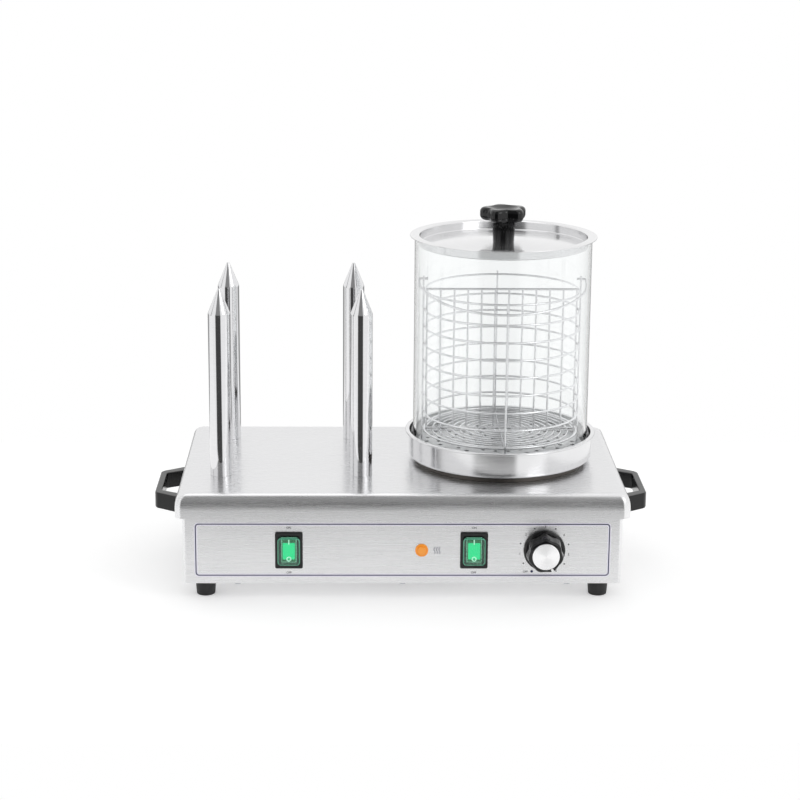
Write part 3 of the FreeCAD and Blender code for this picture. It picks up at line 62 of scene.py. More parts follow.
def span(node):
    """The lowest corner, highest corner and middle of a node, in millimetres."""
    low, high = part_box(node)
    low = low / MM
    high = high / MM
    return low, high, (low + high) / 2


deck_low, deck_high, _ = span("top_deck")
casing_low, casing_high, _ = span("casing")
casing_high.y = span("back_panel")[1].y
pan_low, _, pan_middle = span("water_pan")
deck_top = deck_high.z
panel_face = casing_low.y
pan_axis = pan_middle.x
_, _, dial_middle = span("dial_knob")
control_level = dial_middle.z
print(f"deck top {deck_top:.1f} mm, panel face {panel_face:.1f} mm, pan axis {pan_axis:.1f} mm")

# %% [markdown]
# ## Camera
# A product photographer stands well back with a long lens, so that upright edges stay
# nearly parallel. The camera looks down a little, which shows the deck and the pan's rim.
# Its place is worked out from a target point, a distance and three small turns, which is
# easier to adjust than a bare position.

# %% Place the camera
camera_target = Vector((-1.4, 0, 193.7)) * MM
camera_distance = 2388.7 * MM
camera_pitch = math.radians(14.684)
camera_turn = math.radians(-1.1925)
camera_roll = math.radians(0.4079)

lens = bpy.data.cameras.new("camera")
lens.sensor_width = 36
lens.lens = 93.535
camera = bpy.data.objects.new("camera", lens)
bpy.context.scene.collection.objects.link(camera)
camera.matrix_world = (
    Matrix.Translation(camera_target)
    @ Matrix.Rotation(camera_turn, 4, "Z")
    @ Matrix.Rotation(math.radians(90) - camera_pitch, 4, "X")
    @ Matrix.Rotation(camera_roll, 4, "Z")
    @ Matrix.Translation((0, 0, camera_distance))
)
bpy.context.scene.camera = camera
print("camera stands at", [round(value, 3) for value in camera.matrix_world.translation])

# %% [markdown]
# ## Nodes and colours
# Every finish below is a small network of shader nodes. One function adds a node, sets it
# up and links what feeds it, and a few short ones do the sums that come up again. Colours
# are written as web colours, because those can be compared with a picture, and one
# function turns them into the linear values that light is worked out in.

# %% Helpers for node networks
noise_low = 0.3
noise_high = 0.7


def srgb(code, alpha=1.0):
    """A web colour such as #C8C8CA as linear red, green, blue and alpha."""
    channels = []
    for start in (1, 3, 5):
        value = int(code[start:start + 2], 16) / 255
        channels.append(value / 12.92 if value <= 0.04045 else ((value + 0.055) / 1.055) ** 2.4)
    return (*channels, alpha)


def add_node(tree, kind, sockets=None, **settings):
    """Adds a node, sets it up, and fills or links its sockets."""
    node = tree.nodes.new("ShaderNode" + kind)
    for setting, value in settings.items():
        setattr(node, setting, value)
    for socket, value in (sockets or {}).items():
        if isinstance(value, bpy.types.NodeSocket):
            tree.links.new(value, node.inputs[socket])
        else:
            node.inputs[socket].default_value = value
    return node


def maths(tree, operation, first, second=0.5):
    """The result of a sum with one or two values."""
    return add_node(tree, "Math", {0: first, 1: second}, operation=operation).outputs[0]


def vectors(tree, operation, *values):
    """The result of a sum with vectors."""
    return add_node(tree, "VectorMath", dict(enumerate(values)),
                    operation=operation).outputs["Vector"]


def remap(tree, value, start, end, low=0.0, high=1.0, **settings):
    """A value whose range from start to end becomes low to high."""
    return add_node(tree, "MapRange", {"Value": value, "From Min": start, "From Max": end,
                                       "To Min": low, "To Max": high}, **settings).outputs[0]


def vary(tree, pattern, low, high):
    """A noise pattern, which mostly lies between 0.3 and 0.7, spread from low to high."""
    return remap(tree, pattern, noise_low, noise_high, low, high)


def blend(tree, share, first, second):
    """A colour between two others."""
    return add_node(tree, "Mix", {0: share, 6: first, 7: second}, data_type="RGBA").outputs[2]


def empty_tree(owner):
    """The node tree of a world or a material, cleared."""
    owner.use_nodes = True
    owner.node_tree.nodes.clear()
    return owner.node_tree


def start_finish(name, slot, **sockets):
    """A material for a slot of the record, with its main shader and its object coordinates."""
    finish = bpy.data.materials.new(name)
    finish["slot"] = slot
    tree = empty_tree(finish)
    values = {key.replace("_", " "): value for key, value in sockets.items()}
    shader = add_node(tree, "BsdfPrincipled", values)
    add_node(tree, "OutputMaterial", {"Surface": shader.outputs["BSDF"]})
    return finish, tree, shader, add_node(tree, "TexCoord").outputs["Object"]


def link_surface(tree, shader, tint, pattern, rough, relief, depth, strength):
    """Feeds a shader its colour, its roughness and a relief of a depth in millimetres."""
    colour = blend(tree, pattern, srgb(tint[0]), srgb(tint[1]))
    bump = add_node(tree, "Bump", {"Height": relief, "Distance": depth * MM,
                                   "Strength": strength})
    tree.links.new(colour, shader.inputs["Base Color"])
    tree.links.new(rough, shader.inputs["Roughness"])
    tree.links.new(bump.outputs[0], shader.inputs["Normal"])


print("white is", srgb("#FFFFFF")[:3], "and mid grey is", round(srgb("#808080")[0], 3))

# %% [markdown]
# ## Studio
# Steel has hardly a colour of its own: it shows the room. The room of a catalogue picture
# is white all round, with a gap between the lamps where the camera stands, and that gap is
# the dark stripe down every round steel piece. A narrow second gap stands at the left. Only
# mirror reflections see the gaps, so the light stays plain. They fade above the horizon and
# for rays that came through the glass, which keeps the deck and the glass bright from
# behind. Low at the back the room is grey: bright wire gets a thin outline from it.

# %% White room with a dark gap towards the camera
gap_left = -36
gap_right = 17
gap_softness = 4
side_gap = -86
side_gap_half = 3
side_gap_softness = 2
gap_shade = 0.06
back_start = 100
back_full = 140
back_depth = 0.75
upper_gap = 0.78
behind_glass = 0.4
room_light = 0.8

scene = bpy.context.scene
scene.view_settings.view_transform = "Standard"
room = bpy.data.worlds.new("white_room")
scene.world = room
tree = empty_tree(room)
way = add_node(tree, "TexCoord").outputs["Generated"]
parts = add_node(tree, "SeparateXYZ", {0: way}).outputs
bearing = maths(tree, "ARCTAN2", parts["X"], maths(tree, "MULTIPLY", parts["Y"], -1.0))


def fade(edge, softness):
    """From 0 to 1 where the bearing passes an edge, in degrees."""
    return remap(tree, bearing, math.radians(edge - softness), math.radians(edge + softness),
                 interpolation_type="SMOOTHSTEP")


def gap(left, right, softness):
    """1 between two bearings and 0 beside them."""
    return maths(tree, "SUBTRACT", fade(left, softness), fade(right, softness))


either = maths(tree, "MAXIMUM", gap(gap_left, gap_right, gap_softness),
               gap(side_gap - side_gap_half, side_gap + side_gap_half, side_gap_softness))
gaps = maths(tree, "MULTIPLY", either, remap(tree, parts["Z"], 0.05, 0.25, 1.0, upper_gap))
at_back = remap(tree, maths(tree, "ABSOLUTE", bearing), math.radians(back_start),
                math.radians(back_full), 0.0, back_depth, interpolation_type="SMOOTHSTEP")
under_back = maths(tree, "MULTIPLY", at_back, remap(tree, parts["Z"], -0.02, -0.1))
rays = add_node(tree, "LightPath").outputs
opaque = maths(tree, "SUBTRACT", 1.0, rays["Is Transmission Ray"])
outlines = maths(tree, "MULTIPLY", under_back, opaque)
clear = remap(tree, rays["Is Transmission Ray"], 0.0, 1.0, 1.0, behind_glass)
dark = maths(tree, "MAXIMUM", maths(tree, "MULTIPLY", gaps, clear), outlines)
seen = maths(tree, "MULTIPLY", dark, rays["Is Glossy Ray"])
shade = blend(tree, seen, (1, 1, 1, 1), (gap_shade, gap_shade, gap_shade, 1))
backdrop = maths(tree, "MAXIMUM", rays["Is Camera Ray"], rays["Is Transmission Ray"])
mirrored = maths(tree, "MAXIMUM", backdrop, rays["Is Glossy Ray"])
level = remap(tree, mirrored, 0.0, 1.0, room_light, 1.0)
sky = add_node(tree, "Background", {"Color": shade, "Strength": level})
add_node(tree, "OutputWorld", {"Surface": sky.outputs[0]})
print("the gap spans", gap_right - gap_left, "degrees")

# %% [markdown]
# ## Table
# The object stands on a white table that ends a little in front of it. A weak glow takes the
# table to pure white for the eye and for mirrors, and leaves the soft shadow.

# %% White table
table_front = -0.52
table_side = 3.0
table_back = 0.5
table_glow = 0.3
mirrored_glow = 0.3

surface = bmesh.new()
bmesh.ops.create_grid(surface, x_segments=1, y_segments=1, size=1)
bmesh.ops.scale(surface, verts=surface.verts,
                vec=(table_side, (table_back - table_front) / 2, 1))
bmesh.ops.translate(surface, verts=surface.verts, vec=(0, (table_back + table_front) / 2, 0))
mesh = bpy.data.meshes.new("table")
surface.to_mesh(mesh)
surface.free()
table = bpy.data.objects.new("table", mesh)
scene.collection.objects.link(table)

laminate = bpy.data.materials.new("white_table")
tree = empty_tree(laminate)
grain = add_node(tree, "TexNoise", {
    "Vector": add_node(tree, "TexCoord").outputs["Object"], "Scale": 3.0, "Detail": 3.0})
tone = remap(tree, grain.outputs["Fac"], 0.0, 1.0, 0.88, 0.9)
paint = add_node(tree, "BsdfDiffuse", {"Color": tone})
rays = add_node(tree, "LightPath").outputs
watched = maths(tree, "MAXIMUM", rays["Is Camera Ray"], rays["Is Transmission Ray"])
glow = maths(tree, "MAXIMUM", maths(tree, "MULTIPLY", watched, table_glow),
             maths(tree, "MULTIPLY", rays["Is Glossy Ray"], mirrored_glow))
white = add_node(tree, "Emission", {"Color": (1, 1, 1, 1), "Strength": glow})
both = add_node(tree, "AddShader", {0: paint.outputs[0], 1: white.outputs[0]})
add_node(tree, "OutputMaterial", {"Surface": both.outputs[0]})
mesh.materials.append(laminate)
print("the table's front edge lies", round(-table_front, 2), "m in front of the deck's middle")

# %% [markdown]
# ## Lamps
# One wide soft box stands right of the camera and one hangs above. They are weak, because
# the white room already lights everything evenly: they only add the brighter side and the
# soft highlights on black plastic that give a catalogue picture its depth.

# %% Soft boxes


def soft_box(name, place, aim, width, height, watts):
    """A rectangular lamp that points at a spot."""
    lamp = bpy.data.lights.new(name, "AREA")
    lamp.shape = "RECTANGLE"
    lamp.size = width
    lamp.size_y = height
    lamp.energy = watts
    holder = bpy.data.objects.new(name, lamp)
    holder.location = place
    holder.rotation_euler = (Vector(aim) - Vector(place)).to_track_quat("-Z", "Y").to_euler()
    scene.collection.objects.link(holder)
    print(name, watts, "W")


soft_box("soft_box_right", (1.5, -1.3, 1.5), (0.05, 0, 0.15), 0.9, 0.9, 5)
soft_box("soft_box_above", (-0.2, 0.3, 2.0), (0, 0, 0.1), 1.2, 0.8, 2)

# %% [markdown]
# ## Sheet steel
# The casing and deck are stainless sheet that was brushed in one direction with an abrasive
# belt. The belt leaves hairlines a few centimetres long and far finer than a millimetre.
# They spread a reflection across the grain and keep it sharp along the grain. A tangent
# laid across the hairlines gives that spread. A noise pattern stretched along the brushing
# varies the roughness and raises a bump too shallow to see by itself. The lines are drawn
# about 0.7 mm apart, coarser than real ones, because finer ones would vanish between the
# pixels.

# %% Hairline brushed stainless steel
hairline_length = 45
hairline_pitch = 0.7
patch_size = 120
sheet_grip = 0.85


def per_metre(millimetres):
    """How many repeats of a real size fit in one metre."""
    return 1 / (millimetres * MM)


def cloud(tree, place, size):
    """Soft noise with patches of a size in millimetres."""
    return add_node(tree, "TexNoise", {"Vector": place, "Scale": per_metre(size),
                                       "Detail": 2.0}).outputs["Fac"]


def brushing(tree, place, scale, detail=3.0):
    """A noise pattern stretched by its scale in three directions."""
    spread = add_node(tree, "Mapping", {"Vector": place, "Scale": scale})
    return add_node(tree, "TexNoise", {"Vector": spread.outputs[0], "Scale": 1.0,
                                       "Detail": detail, "Roughness": 0.6}).outputs["Fac"]


def brushed_sheet(name, along):
    """Stainless sheet with its hairlines along X or along Y."""
    finish, tree, shader, place = start_finish(name, "brushed_steel", Metallic=1.0,
                                               Anisotropic=sheet_grip)
    across_lines = (0, 1, 1) if along == "X" else (1, 0, 1)
    tree.links.new(vectors(tree, "NORMALIZE", across_lines), shader.inputs["Tangent"])
    scale = [per_metre(hairline_pitch)] * 3
    scale["XY".index(along)] = per_metre(hairline_length)
    lines = brushing(tree, place, scale)
    uneven = vary(tree, cloud(tree, place, patch_size), -0.015, 0.015)
    rough = maths(tree, "ADD", vary(tree, lines, 0.22, 0.31), uneven)
    link_surface(tree, shader, ("#E4E4E5", "#F1F1F2"), lines, rough, lines, 0.009, 0.5)
    return finish


hairline_steel = brushed_sheet("hairline_brushed_stainless", "X")
hairline_steel_ends = brushed_sheet("hairline_brushed_stainless_ends", "Y")
print("brushed steel finishes made")

# %% [markdown]
# ## Spun steel
# The water pan and the lid are spun on a lathe: a disc of steel is pressed over a turning
# form, and the tool leaves fine rings round the axis. The pattern therefore has to follow
# the distance from the axis, and not a straight direction. Two numbers give it: the
# distance from the axis and the height. A tangent across the rings spreads a reflection
# into the bright fan that a turned face shows. The cap of the dial gets the same pattern,
# and the loose plate in the pan a coarser one without the fan.

# %% Spun stainless steel and spun aluminium


def spun_metal(name, slot, centre, turn, tint, dull, shiny, pitch, grip):
    """Metal with rings round an axis. A turn lays the axis along Z first."""
    finish, tree, shader, place = start_finish(name, slot, Metallic=1.0, Anisotropic=grip)
    moved = add_node(tree, "Mapping", {"Vector": place, "Location": centre,
                                       "Rotation": turn}, vector_type="TEXTURE")
    parts = add_node(tree, "SeparateXYZ", {0: moved.outputs[0]}).outputs
    flat = add_node(tree, "CombineXYZ", {"X": parts["X"], "Y": parts["Y"]})
    radius = add_node(tree, "VectorMath", {0: flat.outputs[0]}, operation="LENGTH")
    ringed = add_node(tree, "CombineXYZ", {"X": radius.outputs["Value"], "Y": parts["Z"]})
    across = per_metre(pitch)
    rings = brushing(tree, ringed.outputs[0], (across, across, 1))
    link_surface(tree, shader, tint, rings, vary(tree, rings, shiny, dull), rings, 0.02, 0.4)
    if grip:
        axis = add_node(tree, "VectorRotate", {"Vector": UPRIGHT, "Rotation": turn},
                        rotation_type="EULER_XYZ").outputs[0]
        about = vectors(tree, "CROSS_PRODUCT", axis, vectors(tree, "SUBTRACT", place, centre))
        outwards = vectors(tree, "NORMALIZE", vectors(tree, "CROSS_PRODUCT", about, axis))
        tree.links.new(vectors(tree, "ADD", outwards, axis), shader.inputs["Tangent"])
    return finish


pan_centre = Vector((pan_axis, 0, 0)) * MM
dial_centre = Vector((dial_middle.x, panel_face, control_level)) * MM
facing_user = (math.radians(90), 0, 0)
spun_pan_steel = spun_metal("spun_stainless_pan", "brushed_steel", pan_centre, (0, 0, 0),
                            ("#DCDCDD", "#EAEAEB"), 0.19, 0.12, 0.8, 0.85)
spun_lid_steel = spun_metal("spun_stainless_lid", "brushed_steel", pan_centre, (0, 0, 0),
                            ("#DCDCDD", "#EEEEEF"), 0.2, 0.13, 0.8, 0.85)
spun_plate_steel = spun_metal("spun_stainless_plate", "brushed_steel", pan_centre, (0, 0, 0),
                              ("#E4E4E5", "#F2F2F3"), 0.42, 0.32, 1.6, 0.0)
spun_aluminium = spun_metal("spun_aluminium", "aluminium", dial_centre, facing_user,
                            ("#F0F0F1", "#FAFAFA"), 0.3, 0.2, 0.5, 0.8)
print("spun metal finishes made")

# %% [markdown]
# ## Polished steel, wire and plated fasteners
# The spikes are ground and mirror polished, so they are nearly perfect mirrors with faint
# polishing marks round them. The basket's wire is electropolished: bright, but softer,
# because drawing the wire left tiny ripples. Bolts and nuts are zinc plated, a slightly
# blue and cloudy coat. The tubular heaters are a nickel alloy that dulls with heat. The
# ring under the pan gets a dark grey-brown steel: painted shade, for the pan's shadow on it.

# %% Plain metals


def plain_metal(name, slot, tint, rough, spread, grain, depth):
    """Metal whose polish varies a little over its surface."""
    finish, tree, shader, place = start_finish(name, slot, Metallic=1.0)
    marks = brushing(tree, place, [per_metre(size) for size in grain], 2.0)
    polish = vary(tree, marks, max(rough - spread, 0.0), rough + spread)
    link_surface(tree, shader, tint, marks, polish, marks, depth, 0.3)
    return finish


mirror_steel = plain_metal("mirror_polished_stainless", "polished_steel",
                           ("#DEDEE0", "#EBEBEC"), 0.07, 0.03, (8, 8, 1.2), 0.004)
wire_steel = plain_metal("electropolished_wire", "polished_steel",
                         ("#E6E6E8", "#F4F4F5"), 0.14, 0.04, (1.5, 1.5, 1.5), 0.01)
zinc_plate = plain_metal("zinc_plated_steel", "zinc_plate",
                         ("#A9ADB2", "#C6C8CA"), 0.32, 0.08, (2, 2, 2), 0.01)
heater_alloy = plain_metal("nickel_alloy_sheath", "heater_steel",
                           ("#7D7A76", "#9A9690"), 0.42, 0.08, (3, 3, 3), 0.02)
# Painted shade: a dark steel for the low ring under the pan, where the pan's shadow falls.
painted_shade_steel = plain_metal("shade_painted_stainless", "brushed_steel",
                           ("#4A4744", "#625E5A"), 0.4, 0.06, (4, 4, 4), 0.01)
print("plain metal finishes made")

# %% [markdown]
# ## Plastics, rubber and glass
# Handles, knobs and switch frames are injection moulded in black: glass-filled nylon for
# the handles and phenolic for the knobs, both glossy with a very fine moulded grain. The
# feet are matt rubber. The cylinder is borosilicate glass, which is clear, and shows only
# at its edges. The switch boots are green translucent silicone over a rocker with a lamp
# behind it. The boot's rounded rim gets a second, more opaque green. This is painted light
# for the bright outline that the rim catches and the denser green where light passes more rubber.

# %% Moulded plastics and rubber


def moulded(name, slot, tint, rough, grain, depth, **more):
    """A moulded surface with a fine grain and a slightly uneven gloss."""
    finish, tree, shader, place = start_finish(name, slot, **more)
    fine = cloud(tree, place, grain)
    broad = cloud(tree, place, grain * 30)
    gloss = vary(tree, broad, rough * 0.8, rough * 1.2)
    link_surface(tree, shader, tint, broad, gloss, fine, depth, 0.4)
    return finish


black_nylon = moulded("black_glass_filled_nylon", "black_plastic", ("#070708", "#0D0D0E"),
                      0.18, 0.5, 0.01, IOR=1.42)
black_phenolic = moulded("black_phenolic", "black_plastic", ("#050506", "#0A0A0B"),
                         0.1, 0.6, 0.006, IOR=1.45)
black_rubber = moulded("black_nitrile_rubber", "black_rubber", ("#131313", "#1C1C1C"),
                       0.5, 0.4, 0.05, IOR=1.5)
white_nylon = moulded("white_nylon", "white_plastic", ("#E4E3DE", "#EDECE8"),
                      0.4, 0.5, 0.02, IOR=1.5)
print("plastic and rubber finishes made")

# %% Clear and coloured see-through finishes
borosilicate_glass = moulded("borosilicate_glass", "clear_glass", ("#FBFDFD", "#FFFFFF"),
                             0.0, 40, 0.002, IOR=1.47, Transmission_Weight=1.0)
green_silicone = moulded("clear_green_silicone_boot", "green_boot", ("#B4EBD2", "#C4F0DC"),
                         0.05, 0.8, 0.01, IOR=1.41, Transmission_Weight=0.96)
# Painted light: the rim's own, more opaque copy of the silicone, for the bright outline and denser
# green that light gives the rounded rim.
boot_rim_painted_light = moulded("green_silicone_painted_rim_light", "green_boot", ("#5FBE98", "#7CCFAE"),
                    0.2, 0.8, 0.01, IOR=1.41, Transmission_Weight=0.35)
lit_green = moulded("lit_green_polycarbonate", "green_rocker", ("#0AB07A", "#10C48A"),
                    0.2, 0.5, 0.01, IOR=1.58, Emission_Color=srgb("#00E8A4"),
                    Emission_Strength=0.8)
dark_green = moulded("green_polycarbonate", "green_rocker", ("#007A4C", "#008C5A"),
                     0.18, 0.5, 0.01, IOR=1.58)
amber = moulded("amber_polycarbonate", "amber_lens", ("#E88A1E", "#F4A33A"),
                0.12, 0.6, 0.01, IOR=1.58, Emission_Color=srgb("#F0962A"),
                Emission_Strength=0.18)
navy_ink = moulded("navy_screen_print", "black_plastic", ("#1C1D48", "#242658"),
                   0.45, 0.3, 0.005, IOR=1.5)
black_ink = moulded("black_screen_print", "black_plastic", ("#1C1C24", "#25252E"),
                    0.45, 0.3, 0.005, IOR=1.5)
pale_ink = moulded("pale_screen_print", "white_plastic", ("#F2F0FC", "#FAF8FF"),
                   0.45, 0.3, 0.005, IOR=1.5)
white_ink = moulded("white_pad_print", "white_plastic", ("#F2F4F2", "#FFFFFF"),
                    0.4, 0.3, 0.005, IOR=1.5)
lit_white_ink = moulded("lit_white_pad_print", "green_rocker", ("#F2F4F2", "#FFFFFF"),
                        0.4, 0.3, 0.005, IOR=1.5, Emission_Color=srgb("#FFFFFF"),
                        Emission_Strength=0.55)
print("see-through and printed finishes made")

# %% [markdown]
# ## Making and fitting pieces
# Every piece is drawn in millimetres, because that is how its maker would give its sizes.
# Most are round or bent from wire, so three helpers do much of the work: one turns an
# outline about an upright axis, one pushes a round section along straight runs and bends,
# and one hands the finished shape over to the model. That one also leans the shading of
# each corner towards its larger faces, so that long flat walls reflect straight lines and
# the glass does not act as a lens.

# %% Helpers that shape and fit pieces
smooth_angle = math.radians(35)


def move(shape, vec, verts=None):
    """Moves a shape, or only some of its corners."""
    bmesh.ops.translate(shape, verts=verts or shape.verts, vec=vec)


def stretch(shape, vec, verts=None):
    """Scales a shape, or only some of its corners, about the origin."""
    bmesh.ops.scale(shape, verts=verts or shape.verts, vec=vec)


def tilt(shape, degrees):
    """Turns a shape about the X axis."""
    bmesh.ops.rotate(shape, verts=shape.verts, cent=(0, 0, 0),
                     matrix=Matrix.Rotation(math.radians(degrees), 3, "X"))


def face_out(shape):
    """Makes all faces look outwards."""
    bmesh.ops.recalc_face_normals(shape, faces=shape.faces)


def pick(items, kind):
    """The corners, edges or faces among what an operator made."""
    return [item for item in items if isinstance(item, getattr(bmesh.types, "BM" + kind))]


def pull(shape, edges):
    """Pulls a strip of faces off some edges and gives its far corners and edges."""
    made = bmesh.ops.extrude_edge_only(shape, edges=edges)["geom"]
    return pick(made, "Vert"), pick(made, "Edge")


def draw_chain(shape, points):
    """Corners joined by edges in their order."""
    corners = [bmesh.ops.create_vert(shape, co=point)["vert"][0] for point in points]
    return corners, [shape.edges.new(pair) for pair in zip(corners, corners[1:])]


def block(size, middle):
    """A box of a size about its middle."""
    shape = bmesh.new()
    bmesh.ops.create_cube(shape, size=1)
    stretch(shape, size)
    move(shape, middle)
    return shape


def turn_outline(rows, centre, steps=96):
    """Turns a chain of (radius, height) corners about an upright axis."""
    shape = bmesh.new()
    corners, edges = draw_chain(shape, [(radius, 0, height) for radius, height in rows])
    bmesh.ops.spin(shape, geom=corners + edges, cent=(0, 0, 0), axis=UPRIGHT,
                   angle=math.tau, steps=steps, use_merge=True)
    bmesh.ops.remove_doubles(shape, verts=shape.verts, dist=0.0005)
    face_out(shape)
    move(shape, (centre[0], centre[1], 0))
    return shape


def rounded(rows, radii, segments=4):
    """The same chain with some corners, picked by number, drawn as arcs."""
    points = [Vector(row) for row in rows]
    chain = []
    for k, point in enumerate(points):
        radius = radii.get(k, 0)
        if not radius:
            chain.append(point)
            continue
        before = (points[(k - 1) % len(points)] - point).normalized()
        after = (points[(k + 1) % len(points)] - point).normalized()
        half = before.angle(after) / 2
        reach = radius / math.tan(half)
        middle = point + (before + after).normalized() * (radius / math.sin(half))
        first = point + before * reach - middle
        last = point + after * reach - middle
        chain += [middle + first.normalized().slerp(last.normalized(), step / segments) * radius
                  for step in range(segments + 1)]
    return chain


def round_section(shape, radius, place, heading, sides, filled):
    """The corners of a circle that starts a wire, square to its heading."""
    disc = bmesh.ops.create_circle(shape, cap_ends=filled, radius=radius, segments=sides)["verts"]
    turn = UPRIGHT.rotation_difference(heading).to_matrix()
    bmesh.ops.rotate(shape, verts=disc, cent=(0, 0, 0), matrix=turn)
    move(shape, place, disc)
    return disc


def bent_wire(shape, radius, start, heading, legs, sides=16, steps_per_turn=48):
    """Wire along straight runs, as ("run", length), and bends, as ("bend", centre, axis, turn)."""
    disc = set(round_section(shape, radius, start, heading, sides, True))
    tip = [face for face in shape.faces if set(face.verts) <= disc][0]
    heading = Vector(heading).normalized()
    for leg in legs:
        if leg[0] == "run":
            made = bmesh.ops.extrude_face_region(shape, geom=[tip])["geom"]
            move(shape, heading * leg[1], pick(made, "Vert"))
            tip = pick(made, "Face")[0]
        else:
            _, centre, axis, degrees = leg
            angle = math.radians(degrees)
            steps = max(2, round(abs(degrees) / 360 * steps_per_turn))
            made = bmesh.ops.spin(shape, geom=[tip], cent=centre, axis=axis, angle=angle,
                                  steps=steps)
            bmesh.ops.delete(shape, geom=[tip], context="FACES_ONLY")
            tip = pick(made["geom_last"], "Face")[0]
            heading = Matrix.Rotation(angle, 3, Vector(axis)) @ heading
    face_out(shape)


def wire_ring(shape, radius, wire, centre, axis=UPRIGHT, sides=16, steps=96):
    """A closed ring of round wire about a centre."""
    across = UPRIGHT if abs(axis.dot(UPRIGHT)) < 0.5 else Vector((1, 0, 0))
    around = axis.cross(across)
    disc = round_section(shape, wire, Vector(centre) + across * radius, around, sides, False)
    rim = list({edge for vert in disc for edge in vert.link_edges})
    bmesh.ops.spin(shape, geom=disc + rim, cent=centre, axis=axis, angle=math.tau,
                   steps=steps, use_merge=True)


def finish_piece(name, shape, finish, body, *nodes):
    """Turns a shape in millimetres into a piece that rides on a body for some nodes."""
    stretch(shape, (MM, MM, MM))
    mesh = bpy.data.meshes.new(name)
    shape.to_mesh(mesh)
    shape.free()
    mesh.shade_smooth()
    mesh.set_sharp_from_angle(angle=smooth_angle)
    piece = bpy.data.objects.new(name, mesh)
    scene.collection.objects.link(piece)
    lean = piece.modifiers.new("weighted_normals", "WEIGHTED_NORMAL")
    lean.keep_sharp = True
    finishes = finish if isinstance(finish, list) else [finish]
    for each in finishes:
        mesh.materials.append(each)
    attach(piece, body)
    if nodes:
        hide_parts(*nodes)
    print(name, len(mesh.polygons), "faces")


def soften(shape, edges, amount, segments=3):
    """Rounds edges by an amount in millimetres."""
    bmesh.ops.bevel(shape, geom=edges, offset=amount, offset_type="OFFSET", segments=segments,
                    profile=0.5, affect="EDGES", material=-1, clamp_overlap=True)


print("helpers ready")

# %% [markdown]
# ## Feet
# Each foot is a moulded rubber cone, a little wider at the casing than at the table, with a
# pocket underneath for its screw. The lower edge is rounded, because a sharp rubber edge
# would tear, and a small collar under the casing hides the joint.

# %% Rubber feet
bolt_bore = 2.75
pocket = 6.0
pocket_depth = 11.0
for foot in ("foot_front_left", "foot_front_right", "foot_back_left", "foot_back_right"):
    low, high, middle = span(foot)
    top = high.z
    wide = (high.x - low.x) / 2
    foot_outline = rounded([
        (bolt_bore, top), (wide, top), (wide, top - 2.2), (wide - 0.45, top - 2.7),
        (wide - 1.7, 0.0), (pocket, 0.0), (pocket, pocket_depth), (bolt_bore, pocket_depth),
        (bolt_bore, top)],
        {1: 0.5, 4: 1.2, 5: 0.5})
    finish_piece("rubber_" + foot, turn_outline(foot_outline, middle, 64), black_rubber,
                 "base", foot)

# %% [markdown]
# ## Casing
# The casing is one sheet folded round the front and both ends, with a back panel welded in.
# Seen from outside it is a clean box with upright corners of four millimetres. It is made
# as the outside surface of a block, then given the thickness of its sheet inwards. The
# brushing runs along the front and, on the ends, from front to back, so the end faces get
# the second finish.

# %% Folded casing
sheet = 1.5
corner_radius = 4
shape = block(casing_high - casing_low, (casing_low + casing_high) / 2)
upright_edges = [edge for edge in shape.edges
                 if abs((edge.verts[0].co - edge.verts[1].co).normalized().z) > 0.9]
soften(shape, upright_edges, corner_radius, 6)
ends = [face for face in shape.faces if abs(face.normal.z) > 0.9]
bmesh.ops.delete(shape, geom=ends, context="FACES_ONLY")
bmesh.ops.solidify(shape, geom=shape.faces[:], thickness=sheet)
face_out(shape)
for face in shape.faces:
    face.material_index = 1 if abs(face.normal.x) > 0.75 else 0
finish_piece("casing_shell", shape, [hairline_steel, hairline_steel_ends], "base",
             "casing", "back_panel")

# %% [markdown]
# ## Deck
# The deck is pressed from sheet over a die. Its lip hangs 27 mm down all round and
# the bend at the top is generous, so the lip catches a bright band, a dark one and a bright
# one again. That band is the strongest line in the picture, which is why the bend is built
# from several rows that follow a flattened curve instead of one even round.

# %% Pressed deck
deck_corner = 8.5
deck_sheet = 1.5
deck_rows = ((0, 0), (0, 9), (0.12, 12.6), (0.55, 16.8), (1.5, 20.7), (3.3, 24.2),
             (6.2, 26.5), (10.5, 27.5))


def rounded_rectangle(wide, deep, corner, level, segments=8):
    """A flat face with round corners at one level."""
    shape = bmesh.new()
    bmesh.ops.create_grid(shape, x_segments=1, y_segments=1, size=0.5)
    stretch(shape, (wide, deep, 1))
    move(shape, (0, 0, level))
    bmesh.ops.bevel(shape, geom=shape.verts[:], offset=corner, offset_type="OFFSET",
                    segments=segments, profile=0.5, affect="VERTICES", material=-1)
    return shape


deck_size = deck_high - deck_low
shape = rounded_rectangle(deck_size.x, deck_size.y, deck_corner, deck_low.z)
bmesh.ops.delete(shape, geom=shape.faces[:], context="FACES_ONLY")
rim = shape.edges[:]
for (inset, rise), (next_inset, next_rise) in zip(deck_rows, deck_rows[1:]):
    verts, rim = pull(shape, rim)
    move(shape, (0, 0, next_rise - rise), verts)
    stretch(shape, ((deck_size.x - 2 * next_inset) / (deck_size.x - 2 * inset),
                    (deck_size.y - 2 * next_inset) / (deck_size.y - 2 * inset), 1), verts)
bmesh.ops.edgeloop_fill(shape, edges=rim)
face_out(shape)
bmesh.ops.solidify(shape, geom=shape.faces[:], thickness=deck_sheet)
for face in shape.faces:
    face.material_index = 1 if abs(face.normal.x) > 0.75 else 0
finish_piece("pressed_deck", shape, [hairline_steel, hairline_steel_ends], "base", "top_deck")

# %% [markdown]
# ## Bun spikes
# A spike is a polished steel tube with a cartridge heater inside and a pointed end that
# opens the bun. The point's shoulder is soft, so the dark stripe of the room bends there
# without a break. A turned outline with an arc at the shoulder and a blunted tip gives it.

